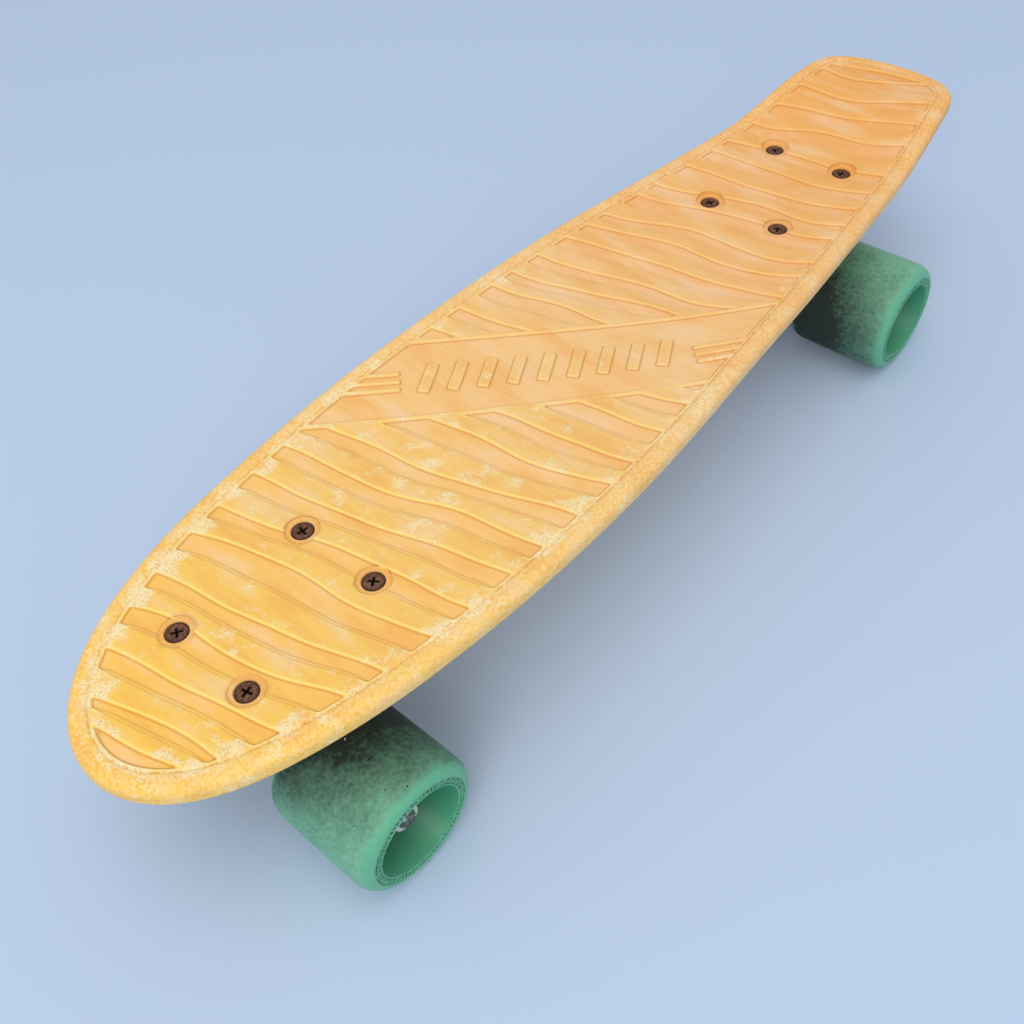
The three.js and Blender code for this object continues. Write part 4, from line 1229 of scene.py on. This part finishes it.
def zinc_plated_steel():
    """Dull zinc plate: a warm grey, with a paler bloom and brown specks where it wears."""
    material, tree, surface, place = new_finish("zinc_plated_steel", metallic=1.0)
    cloud = put(tree, "TexNoise", {"Vector": place, "Scale": per_size(zinc_cloud_size), "Detail": 3})
    speck = put(tree, "TexNoise", {"Vector": place, "Scale": per_size(zinc_speck_size), "Detail": 5,
                                   "Roughness": 0.75})
    bloom = put(tree, "MapRange", [cloud, 0.4, 0.6])
    tone = put(tree, "MixRGB", [bloom, colour("8B877B"), colour("A2A29C")])
    browned = put(tree, "MapRange", [speck, 0.44, 0.6, 0, 0.9])
    tone = put(tree, "MixRGB", [browned, tone, colour("332B22")])
    rough = put(tree, "MapRange", [speck, 0.4, 0.7, 0.3, 0.65])
    bump = put(tree, "Bump", {"Height": speck, "Strength": 0.3,
                              "Distance": zinc_speck_height * metres_per_mm})
    fill(tree, surface, {"Base Color": tone, "Roughness": rough, "Normal": bump})
    return material


def moulded_nylon():
    """Off-white nylon, slightly cloudy."""
    material, tree, surface, place = new_finish("moulded_nylon", ior=1.53)
    cloud = put(tree, "TexNoise", {"Vector": place, "Scale": per_size(nylon_cloud_size), "Detail": 3})
    tone = put(tree, "MixRGB", [cloud, colour("C9C7BC"), colour("E2E0D6")])
    fill(tree, surface, {"Base Color": tone, "Roughness": 0.45})
    return material


zinc = zinc_plated_steel()
nylon = moulded_nylon()
nut_turns = [9, 41, 27, 52, 16, 35, 3, 48]
nut_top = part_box("front_lock_nut_1")[1].z / metres_per_mm
nut_place = Matrix.Translation((0, 0, nut_top)) @ Matrix.Rotation(math.pi, 4, "X")
fit_to_bolt_holes(lock_nut(lock_nut_across, lock_nut_height, bolt_radius + fit_gap), nut_place, nut_turns,
                  "nylon_lock_nut", "lock_nut", None)


# Kingpins and what they clamp
# A steel bolt runs down through each baseplate. On it are a cup washer, a barrel bushing, the
# hanger's ring, a cone bushing, a second cup washer and a lock nut that sets how freely it turns.

king_nut_height = 8
king_tip = 2.5
king_pitch = 1.06
washer_lip = 1.8
washer_wall = 0.9
washer_edge = 0.3
bushing_radius = 12
bushing_waist = 11
cone_tip_radius = 9.6
bushing_edge = 0.8
bushing_edge_share = 0.3
bushing_steps = 12
waist_fullness = 0.8
cone_start_share = 0.25
cone_run_share = 0.55
king_chamfer = 0.7
thick_rod_sides = 48
large_sides = 96
dust_size = 3
dust_height = 0.1
king_length = king_nut_start + king_nut_height + king_tip


def kingpin():
    """A hexagon head with a shank that is threaded where the nut goes."""
    head_top = king_head_depth + king_head_height - fit_gap
    head = extruded(hexagon(king_across), king_head_depth, head_top)
    zones = [(king_nut_start, king_length)]
    shank = threaded_rod(king_radius, king_head_depth + fit_gap, king_length, zones, king_pitch,
                         king_chamfer, thick_rod_sides)
    body = combined(head, [shank], "UNION")
    body.data.transform(scaled_place(along_king))
    return smooth_shaded(body, sharp_degrees=30)


def king_turned(profile, start, flip=False):
    """Something turned about the kingpin, starting at a depth along it."""
    place = along_king @ Matrix.Translation((0, 0, start))
    if flip:
        place = place @ Matrix.Rotation(math.pi, 4, "X")
    return smooth_shaded(turned(profile, large_sides, place, closed=True))


def cup_washer_profile(end_radius):
    hole = king_radius + fit_gap
    seat = end_radius + fit_gap
    top = washer_thickness + washer_lip
    return [
        (hole, 0),
        (seat + washer_wall - 2 * washer_edge, 0),
        (seat + washer_wall - washer_edge / 3, washer_edge),
        (seat + washer_wall, 3 * washer_edge),
        (seat + washer_wall, top - washer_edge),
        (seat + washer_wall - washer_edge, top),
        (seat + washer_edge / 2, top),
        (seat, top - washer_edge),
        (seat, washer_thickness + washer_edge),
        (seat - washer_edge, washer_thickness),
        (hole, washer_thickness),
    ]


def bushing_profile(height, half_points):
    """A bushing's side from points of (radius, height share), with its end edges rounded."""
    hole = king_radius + fit_gap
    side = [(radius, share * height) for radius, share in half_points]
    low = side[0][0]
    high = side[-1][0]
    cut = bushing_edge * bushing_edge_share
    return [
        (hole, 0),
        (low - bushing_edge, 0),
        (low - cut, cut),
        (low, bushing_edge),
        *side[1:-1],
        (high, height - bushing_edge),
        (high - cut, height - cut),
        (high - bushing_edge, height),
        (hole, height),
    ]


def barrel_bushing():
    shares = np.linspace(0, 1, bushing_steps + 1)
    pinch = bushing_radius - bushing_waist
    waist = [(bushing_radius - pinch * math.sin(math.pi * s) ** waist_fullness, s) for s in shares]
    return king_turned(bushing_profile(board_bushing_height, waist), board_bushing_start)


def cone_bushing():
    shares = np.linspace(0, 1, bushing_steps + 1)
    taper = bushing_radius - cone_tip_radius
    cone = [(bushing_radius - taper * smooth((s - cone_start_share) / cone_run_share), s) for s in shares]
    return king_turned(bushing_profile(road_bushing_height, cone), road_bushing_start)


def poured_black_urethane():
    """Cast black urethane: satin, slightly dusty."""
    material, tree, surface, place = new_finish("poured_black_urethane", ior=1.49)
    dust = put(tree, "TexNoise", {"Vector": place, "Scale": per_size(dust_size), "Detail": 5,
                                  "Roughness": 0.7})
    share = put(tree, "MapRange", [dust, 0.45, 0.7, 0, 0.5])
    tone = put(tree, "MixRGB", [share, colour("262524"), colour("5C564D")])
    rough = put(tree, "MapRange", [dust, 0.4, 0.7, 0.35, 0.7])
    bump = put(tree, "Bump", {"Height": dust, "Strength": 0.2, "Distance": dust_height * metres_per_mm})
    fill(tree, surface, {"Base Color": tone, "Roughness": rough, "Normal": bump})
    return material


def king_nut():
    nut = lock_nut(king_across, king_nut_height, king_radius + fit_gap)
    nut.data.transform(scaled_place(along_king @ Matrix.Translation((0, 0, king_nut_start))))
    return nut


black_urethane = poured_black_urethane()
fit_to_trucks(kingpin(), "steel_kingpin", "board", "kingpin", zinc)
board_washer = king_turned(cup_washer_profile(bushing_radius), board_washer_start)
fit_to_trucks(board_washer, "upper_cup_washer", "board", "boardside_cup_washer", zinc)
road_washer = king_turned(cup_washer_profile(cone_tip_radius), road_washer_end, flip=True)
fit_to_trucks(road_washer, "lower_cup_washer", "board", "roadside_cup_washer", zinc)
for bushing, name, node in ((barrel_bushing(), "barrel_bushing", "boardside_bushing"),
                            (cone_bushing(), "cone_bushing", "roadside_bushing")):
    fit_to_trucks(bushing, name, "board", node, black_urethane)
fit_to_trucks(king_nut(), "king_nut", "board", "kingpin_nut", None)


# Pivot cups
# A small urethane cup in each baseplate's housing, in which the hanger's pivot turns.

cup_steps = 8
cup_edge = 0.5


def pivot_cup():
    inner = pivot_ball_radius + fit_gap
    outer = inner + cup_wall
    angles = np.radians(np.linspace(90, 0, cup_steps + 1))
    bowl = [(inner * math.cos(a), inner * math.sin(a)) for a in angles[1:]]
    profile = [
        (0, cup_end),
        (outer - cup_edge, cup_end),
        (outer, cup_end - cup_edge),
        (outer, cup_edge - cup_mouth),
        (outer - cup_edge, -cup_mouth),
        (inner + cup_edge / 2, -cup_mouth),
        (inner, cup_edge / 2 - cup_mouth),
        *bowl[::-1],
        (0, inner),
    ]
    return smooth_shaded(turned(profile[::-1], round_sides, along_pivot))


fit_to_trucks(pivot_cup(), "pivot_cup_seat", "board", "pivot_cup", black_urethane)


# Hangers
# Two aluminium castings that turn on the baseplates. Each is a tapered tube for the axle, a ring
# for the bushings and an arm that ends in the pivot. Only the axle's shoulders are machined.

pivot_neck_radius = 4.8
pivot_neck_length = 11
arm_width = 14
yoke_width = 26
tube_radius = 9
tube_tip_radius = 7.4
tube_straight = 18
shoulder_radius = 6
shoulder_length = 1.2
hanger_width = 82.6
axle_radius = 3.97
hanger_bond = 0.6
tube_steps = 8
ball_steps = 6
neck_sides = 48
axle_place = Vector((axle_setback, 0, -truck_height))
laid_across = Matrix.Rotation(-math.pi / 2, 4, "X")
along_axle = Matrix.Translation(axle_place) @ laid_across
upright = Matrix.Rotation(math.pi / 2, 4, "X")


def side_slab(places, width):
    """A side-view outline given thickness evenly to both sides of the centre plane."""
    plan = [(place.x, place.z) for place in places]
    return extruded(plan, -width / 2, width / 2, upright)


def both_halves(half):
    """Half of a profile, with its mirror image before it."""
    return [(radius, -height) for radius, height in reversed(half)] + half


def hanger():
    """The tube, ring, pivot, arm and yoke joined in one casting, then the machined places."""
    end = hanger_width / 2
    run = end - shoulder_length - tube_straight
    taper = tube_radius - tube_tip_radius
    tube_shares = np.linspace(0, 1, tube_steps + 1)
    half = [(tube_radius - taper * smooth(s), tube_straight + run * s) for s in tube_shares]
    half += [(0, end - shoulder_length)]
    tube = turned(both_halves(half), round_sides, along_axle)
    ring = rod(ring_radius, ring_start, ring_end, along_king)
    angles = np.radians(np.linspace(0, 90, ball_steps + 1))
    ball = [(pivot_ball_radius * math.cos(a), pivot_ball_radius * math.sin(a)) for a in angles]
    neck_profile = [
        (0, -pivot_neck_length - pivot_neck_radius),
        (pivot_neck_radius, -pivot_neck_length),
        (pivot_neck_radius, -pivot_ball_radius / 2),
        *ball[:-1],
        (0, pivot_ball_radius),
    ]
    neck = turned(neck_profile, neck_sides, along_pivot)
    up = Vector((0, 0, 1))
    ahead = Vector((1, 0, 0))
    inner = tube_radius - hanger_bond
    arm = side_slab([
        pivot_at(-pivot_neck_length, pivot_neck_radius + fit_gap),
        king_place(ring_start - pivot_neck_radius, ring_radius + pivot_neck_radius / 3),
        king_place(ring_start + hanger_bond, ring_radius),
        king_place(ring_end - hanger_bond, ring_radius - hanger_bond),
        axle_place - ahead * inner,
        axle_place - up * inner,
        axle_place + ahead * inner,
        pivot_at(-pivot_neck_length, -pivot_neck_radius - fit_gap),
    ], arm_width)
    yoke = side_slab([
        king_place(ring_start + hanger_bond, ring_hole_radius),
        king_place(ring_start + hanger_bond, ring_radius),
        axle_place + up * inner,
        axle_place,
        axle_place - ahead * inner,
        king_place(ring_end - hanger_bond, ring_radius - hanger_bond),
        king_place(ring_end - hanger_bond, ring_hole_radius),
    ], yoke_width)
    casting = cast_skin(combined(tube, [ring, neck, arm, yoke], "UNION"))
    shoulders = rod(shoulder_radius, -end, end, along_axle)
    hole = rod(ring_hole_radius, ring_start - ring_radius, ring_end + ring_radius, along_king)
    bore = rod(axle_radius + fit_gap, -hanger_width, hanger_width, along_axle)
    casting = combined(casting, [shoulders], "UNION")
    return smooth_shaded(combined(casting, [hole, bore], "DIFFERENCE"))


fit_to_trucks(hanger(), "cast_hanger", "{}_truck", "hanger", casting_finish)


# Axles
# One ground steel rod through each hanger, 8 mm across, threaded at both ends for its nuts.

axle_nut_across = 12.7
axle_nut_height = 6.5
speed_washer_thickness = 1
bearing_width = 7
hub_web_width = 9.4
axle_pitch = 1.06
axle_tip = 1.2
axle_chamfer = 0.6
inner_bearing_start = hanger_width / 2 + fit_gap
hub_web_start = inner_bearing_start + bearing_width + fit_gap
outer_bearing_start = hub_web_start + hub_web_width + fit_gap
speed_washer_start = outer_bearing_start + bearing_width + fit_gap
axle_nut_start = speed_washer_start + speed_washer_thickness + fit_gap
axle_end = axle_nut_start + axle_nut_height + axle_tip


def axle():
    zones = [(-axle_end, -speed_washer_start), (speed_washer_start, axle_end)]
    made = threaded_rod(axle_radius, -axle_end, axle_end, zones, axle_pitch, axle_chamfer, thick_rod_sides)
    made.data.transform(scaled_place(along_axle))
    return smooth_shaded(made, sharp_degrees=30)


fit_to_trucks(axle(), "threaded_axle", "{}_truck", "axle", zinc)


# Wheels
# Four wheels of green urethane, poured in a mould with wide hollow mouths. The tread is scuffed and
# grimed from the road, with painted shade darkening one side of it and its inboard half; the rounded
# edge is rubbed clean, and the hollow is painted darker deep inside, as shade.

wheel_radius = 30
wheel_width = 56.2
wheel_edge_round = 8
wheel_mouth_radius = 20.8
wheel_face_radius = 24.4
wheel_lip_radius = 13
bearing_radius = 11
hub_web_radius = 9
hub_edge = 0.5
seat_edge = 0.4
bell_inset = 0.5
bell_fullness = 0.86
bell_steps = 8
edge_steps = 12
band_start = 0.6
face_bevel = 0.3
mark_depth = 0.45
mark_count = 72
mark_length = 2.1
mark_width = 0.75
mark_lean = math.radians(24)
mark_back_share = -0.3
mark_corner_steps = 2
marks_per_group = 9
wheel_sides = 144
worn_reach = 2.6
grimy_side = math.radians(115)
outer_shade_and_grime = 0.4
inner_shade_and_grime = 0.75

# The mouth's rolled lip, by how far beyond the mouth's radius and above the face each point is.
mouth_lip = [(-0.2, -0.35), (0.15, 0), (0.45, 0)]


def wheel_profile():
    """Half the wheel's section, from the hub web out over the face to the tread's middle."""
    face = wheel_width / 2
    seat_end = hub_web_width / 2 + fit_gap + bearing_width
    seat = bearing_radius + fit_gap
    opening = wheel_mouth_radius - wheel_lip_radius - 2 * bell_inset
    rise = face - seat_end - 3 * seat_edge
    bell = [(wheel_lip_radius + bell_inset + opening * s**bell_fullness, seat_end + seat_edge + rise * s)
            for s in np.linspace(0, 1, bell_steps + 1)]
    run = wheel_radius - wheel_face_radius
    edge = [(wheel_face_radius + run * math.cos(a), face - wheel_edge_round * (1 - math.sin(a)))
            for a in np.radians(np.linspace(90, 0, edge_steps + 1))]
    return [
        (hub_web_radius, hub_web_width / 2 - hub_edge),
        (hub_web_radius + hub_edge, hub_web_width / 2),
        (seat, hub_web_width / 2),
        (seat, seat_end - seat_edge),
        (seat + seat_edge, seat_end),
        (wheel_lip_radius, seat_end),
        *bell,
        *[(wheel_mouth_radius + out, face + above) for out, above in mouth_lip],
        (wheel_mouth_radius + band_start, face - mark_depth),
        (wheel_face_radius - face_bevel, face - mark_depth),
        (wheel_face_radius - face_bevel / 2, face - mark_depth / 3),
        *edge,
    ]


def wheel_marks(side):
    """Short raised strokes round the face, in groups, where a maker would put lettering."""
    middle = (wheel_mouth_radius + band_start + wheel_face_radius - face_bevel) / 2
    face = wheel_width / 2
    strokes = []
    for i in range(mark_count):
        if i % marks_per_group == 0:
            continue
        turn = Matrix.Rotation(2 * math.pi * i / mark_count, 4, "Z")
        lean = Matrix.Rotation(mark_lean * (1 if i % 2 else mark_back_share), 4, "Z")
        plan = rounded_rectangle(mark_length, mark_width, mark_width / 3, mark_corner_steps)
        place = turn @ Matrix.Translation((middle, 0, 0)) @ lean
        low, high = sorted((side * (face - 2 * mark_depth), side * (face - mark_depth / 4)))
        strokes.append(extruded(plan, low, high, place))
    return merged(strokes)


def wheel():
    """A wheel about the axle, with what its finish depends on stored at each point."""
    body = turned(both_halves(wheel_profile())[::-1], wheel_sides, closed=True)
    body = combined(body, [wheel_marks(1), wheel_marks(-1)], "UNION")
    body.data.transform(laid_across)
    x, y, z = coordinates(body.data).T
    radius = np.hypot(x, z)
    face = wheel_width / 2
    in_band = (radius > wheel_mouth_radius + mark_depth) & (radius < wheel_face_radius)
    # Painted shade with some grime: darker on the side turned to this angle and on the inboard half, where
    # the deck's shadow falls.
    turned_to_shade_and_grime = (1 + np.cos(np.arctan2(z, x) - grimy_side)) / 2
    store(
        body,
        hollow=radius < wheel_mouth_radius + mark_depth / 4,
        tread=smooth((radius - wheel_radius + worn_reach) / worn_reach),
        dirty_band=in_band & (np.abs(y) < face - mark_depth * 0.8),
        grimy=turned_to_shade_and_grime * (outer_shade_and_grime + inner_shade_and_grime * (face - y) / wheel_width),
        depth=np.clip((face - np.abs(y)) / face, 0, 1),
    )
    return smooth_shaded(body, sharp_degrees=32)


tread_grain_size = 2
scrape_size = 0.8
wheel_cloud_size = 12
wheel_pit_size = 1.6
wheel_fleck_size = 2.7
tread_height = 0.1


def poured_green_urethane():
    """Green urethane: rough and grimy on the tread, with painted shade on one side of it; satin on the clean
    rounded edge and inside, with painted shade deep in the hollow.
    """
    material, tree, surface, place = new_finish("poured_green_urethane", ior=1.5)
    names = ["hollow", "tread", "dirty_band", "grimy", "depth"]
    hollow, tread, band, grimy, depth = [put(tree, "Attribute", attribute_name=name) for name in names]
    shifted = put(tree, "VectorMath", [place, put(tree, "ObjectInfo").node.outputs["Random"]])
    scrape = put(tree, "Mapping", {"Vector": shifted, "Scale": (1, 0.15, 1), "Rotation": (0.3, 0, 0.5)})
    fine = put(tree, "TexNoise", {"Vector": shifted, "Scale": per_size(tread_grain_size), "Detail": 6,
                                  "Roughness": 0.65})
    streak = put(tree, "TexNoise", {"Vector": scrape, "Scale": per_size(scrape_size), "Detail": 4,
                                    "Roughness": 0.7})
    cloud = put(tree, "TexNoise", {"Vector": shifted, "Scale": per_size(wheel_cloud_size), "Detail": 3})
    pit = put(tree, "TexNoise", {"Vector": shifted, "Scale": per_size(wheel_pit_size)})
    fleck = put(tree, "TexNoise", {"Vector": shifted, "Scale": per_size(wheel_fleck_size), "Detail": 1})
    # Grime noise laid over the stored painted shade.
    grime_and_shade_mix = put(tree, "Math", [fine, 0.55, grimy], operation="MULTIPLY_ADD")
    grime_and_shade_mix = put(tree, "Math", [cloud, 0.3, grime_and_shade_mix], operation="MULTIPLY_ADD")
    grime_and_shade_mix = put(tree, "MapRange", [grime_and_shade_mix, 0.62, 1.2, 0, 0.97])
    ragged = put(tree, "Math", [cloud, 0.8, tread], operation="MULTIPLY_ADD")
    tread = put(tree, "MapRange", [ragged, 0.5, 1.3])
    deep = put(tree, "Math", [hollow, depth], operation="MULTIPLY")

    # The worn tread's own tones, laid over the clean urethane where the tread is.
    scraped = put(tree, "MapRange", [streak, 0.4, 0.65, 0, 0.5])
    worn = put(tree, "MixRGB", [scraped, colour("6CAE8B"), colour("8CC0A4")])
    coats = [
        # painted shade and grime
        (grime_and_shade_mix, "151D18"),
        (put(tree, "MapRange", [pit, 0.72, 0.76]), "1A211D"),
        (put(tree, "MapRange", [fleck, 0.2, 0.18]), "E3E8E2"),
    ]
    for share, code in coats:
        worn = put(tree, "MixRGB", [share, worn, colour(code)])
    tone = put(tree, "MixRGB", [hollow, colour("62B089"), colour("3C926A")])
    # Painted shade deep inside the hollow.
    tone = put(tree, "MixRGB", [deep, tone, colour("0B482C")])
    tone = put(tree, "MixRGB", [tread, tone, worn])
    packed = put(tree, "MapRange", [fine, 0.42, 0.58, 0.1, 0.8])
    packed = put(tree, "Math", [band, packed], operation="MULTIPLY")
    tone = put(tree, "MixRGB", [packed, tone, colour("1D3329")])
    clean_rough = put(tree, "MapRange", [hollow, 0, 1, 0.4, 0.46])
    worn_rough = put(tree, "MapRange", [grime_and_shade_mix, 0, 1, 0.5, 0.75])
    rough = put(tree, "MixRGB", [tread, clean_rough, worn_rough])
    uneven = put(tree, "Math", [fine, streak])
    strength = put(tree, "MapRange", [tread, 0, 1, 0.08, 0.5])
    bump = put(tree, "Bump", {"Height": uneven, "Strength": strength,
                              "Distance": tread_height * metres_per_mm})
    fill(tree, surface, {"Base Color": tone, "Roughness": rough, "Normal": bump})
    return material


def wheel_end(end, side):
    """The matrix from one end of an axle, laid along +Y from the truck's middle, to the board."""
    node = middle_of(f"{end}_{side}_wheel")
    place = Matrix.Translation((node.x, 0, node.z))
    return place if side == "left" else place @ Matrix.Rotation(math.pi, 4, "Z")


wheel_spots = [(end, side) for end in truck_ends for side in ("left", "right")]
# Each wheel's turn about its axle, which also sets where its painted shade falls.
wheel_turns = [0, 130, 120, 75]


def fit_to_axle_ends(pattern, along, piece_name, body_name, node_name, finish):
    """Sets one copy of a piece on each end of both axles, this far out from the truck's middle."""
    for (end, side), turn in zip(wheel_spots, wheel_turns):
        place = wheel_end(end, side) @ Matrix.Translation((0, along, 0))
        made = copy_of(pattern, place)
        made.data = pattern.data.copy()
        made.data.transform(Matrix.Rotation(math.radians(turn), 4, "Y"))
        rides_on = body_name.format(end, side)
        node = f"{end}_{side}_{node_name}"
        finished(made, f"{end}_{side}_{piece_name}", rides_on, [node], finish)
    bpy.data.objects.remove(pattern)


wheel_centre = hub_web_start + hub_web_width / 2
rolling = "{}_{}_rolling_wheel"
fit_to_axle_ends(wheel(), wheel_centre, "urethane_wheel", rolling, "wheel",
                 poured_green_urethane())


# Bearings
# Eight sealed ball bearings, two pressed into each wheel. Two ground steel races show, with a
# dished shield between them.

bearing_land_outer = 9.6
bearing_land_inner = 6
shield_inset = 0.5
race_edge = 0.35
shield_groove = 0.25
shield_edge = 0.15
land_edge = 0.1
bearing_sides = 72
turning_line_size = 0.25
turning_line_height = 0.03
grease_size = 3


def bearing():
    """A bearing about the axle: its two races, with the dished shield let in between them."""
    bore = axle_radius + 1.5 * fit_gap
    half = bearing_width / 2
    shield = half - shield_inset
    side = [
        (bore, half - race_edge),
        (bore + race_edge, half),
        (bearing_land_inner - land_edge, half),
        (bearing_land_inner, half - land_edge),
        (bearing_land_inner, shield - shield_groove),
        (bearing_land_inner + race_edge, shield - shield_groove),
        (bearing_land_inner + race_edge + shield_edge, shield),
        (bearing_land_outer - 6 * shield_edge, shield),
        (bearing_land_outer - 4 * shield_edge, shield + shield_edge),
        (bearing_land_outer - shield_edge, shield + shield_edge),
        (bearing_land_outer, shield + 2 * shield_edge),
        (bearing_land_outer, half - land_edge),
        (bearing_land_outer + land_edge, half),
        (bearing_radius - race_edge, half),
        (bearing_radius, half - race_edge),
    ]
    made = turned(both_halves(side)[::-1], bearing_sides, laid_across, closed=True)
    return smooth_shaded(made, sharp_degrees=32)


def ground_bearing_steel():
    """Ground bearing steel: bright, with fine turning lines and a film of dirty grease."""
    material, tree, surface, place = new_finish("ground_bearing_steel", metallic=1.0)
    ring = put(tree, "VectorMath", [place, (1, 0, 1)], operation="MULTIPLY")
    radius = put(tree, "VectorMath", [ring], operation="LENGTH").node.outputs["Value"]
    lines = put(tree, "TexNoise", {"W": radius, "Scale": per_size(turning_line_size)}, noise_dimensions="1D")
    film = put(tree, "TexNoise", {"Vector": place, "Scale": per_size(grease_size), "Detail": 5,
                                  "Roughness": 0.7})
    share = put(tree, "MapRange", [film, 0.4, 0.68, 0, 0.8])
    tone = put(tree, "MixRGB", [share, colour("A3A4A3"), colour("4B463E")])
    rough = put(tree, "MapRange", [film, 0.35, 0.7, 0.22, 0.5])
    bump = put(tree, "Bump", {"Height": lines, "Strength": 0.15,
                              "Distance": turning_line_height * metres_per_mm})
    fill(tree, surface, {"Base Color": tone, "Roughness": rough, "Normal": bump})
    return material


bearing_steel = ground_bearing_steel()
for name, start in (("inner_bearing", inner_bearing_start), ("outer_bearing", outer_bearing_start)):
    fit_to_axle_ends(bearing(), start + bearing_width / 2, f"sealed_{name}", rolling, name,
                     bearing_steel)


# Speed washers and axle nuts
# A thin washer keeps each nut clear of its bearing. The nut is a lock nut of zinc-plated steel.

speed_washer_radius = 6.2
washer_bevel = 0.2


def speed_washer():
    hole = axle_radius + fit_gap
    profile = [
        (hole, 0),
        (speed_washer_radius - washer_bevel, 0),
        (speed_washer_radius, washer_bevel),
        (speed_washer_radius, speed_washer_thickness - washer_bevel),
        (speed_washer_radius - washer_bevel, speed_washer_thickness),
        (hole, speed_washer_thickness),
    ]
    return smooth_shaded(turned(profile, round_sides, laid_across, closed=True))


def axle_nut():
    nut = lock_nut(axle_nut_across, axle_nut_height, axle_radius + fit_gap)
    nut.data.transform(laid_across)
    return nut


truck_body = "{}_truck"
fit_to_axle_ends(speed_washer(), speed_washer_start, "thin_washer", truck_body, "speed_washer",
                 zinc)
fit_to_axle_ends(axle_nut(), axle_nut_start, "nylon_axle_nut", truck_body, "axle_nut", None)


# Floor, light and camera
# A plain pale floor and the soft light of an overcast room. The camera stands where the photograph
# was taken from: above the nose and to the rider's left.

camera_place = (309.1, 242.3, 415.5)
camera_aim = (106.5, 39.7, 90.0)
camera_roll = math.radians(-5.27)
camera_lens = 37.755
camera_sensor = 36
camera_nearest = 10
floor_size = 6000
room_strength = 0.75

# Each lamp's name, place, aim, diameter, power in watts and tint.
lamps = [
    ("overhead_lamp", (400, 200, 1900), (0, 0, 90), 1500, 9, "FFFBF2"),
    ("front_lamp", (1500, 900, 1300), (0, 0, 60), 1200, 12, "FFFDFA"),
]


def stage_floor():
    half = floor_size / 2
    corners = [(-half, -half, 0), (half, -half, 0), (half, half, 0), (-half, half, 0)]
    floor = shape(corners, [[0, 1, 2, 3]])
    floor.name = "floor"
    material, tree, surface, _ = new_finish("pale_floor")
    fill(tree, surface, {"Base Color": colour("BDCEE6"), "Roughness": 0.9})
    floor.data.materials.append(material)


def soft_lamp(name, place, aim, size, power, tint):
    data = bpy.data.lights.new(name, "AREA")
    data.shape = "DISK"
    data.size = size * metres_per_mm
    data.energy = power
    data.color = colour(tint)[:3]
    lamp = bpy.data.objects.new(name, data)
    bpy.context.scene.collection.objects.link(lamp)
    lamp.location = Vector(place) * metres_per_mm
    lamp.rotation_euler = (Vector(aim) - Vector(place)).to_track_quat("-Z", "Y").to_euler()


def soft_light():
    for lamp in lamps:
        soft_lamp(*lamp)
    world = bpy.data.worlds.new("pale_room")
    bpy.context.scene.world = world
    world.use_nodes = True
    background = world.node_tree.nodes["Background"]
    fill(world.node_tree, background, {"Color": colour("E9F0FA"), "Strength": room_strength})


def photo_camera():
    data = bpy.data.cameras.new("camera")
    data.lens = camera_lens
    data.sensor_width = camera_sensor
    data.clip_start = camera_nearest * metres_per_mm
    camera = bpy.data.objects.new("camera", data)
    bpy.context.scene.collection.objects.link(camera)
    look = Vector(camera_aim) - Vector(camera_place)
    turn = look.to_track_quat("-Z", "Y").to_matrix().to_4x4() @ Matrix.Rotation(camera_roll, 4, "Z")
    camera.matrix_world = Matrix.Translation(Vector(camera_place) * metres_per_mm) @ turn
    bpy.context.scene.camera = camera


stage_floor()
soft_light()
photo_camera()
bpy.context.scene.view_settings.view_transform = "Standard"
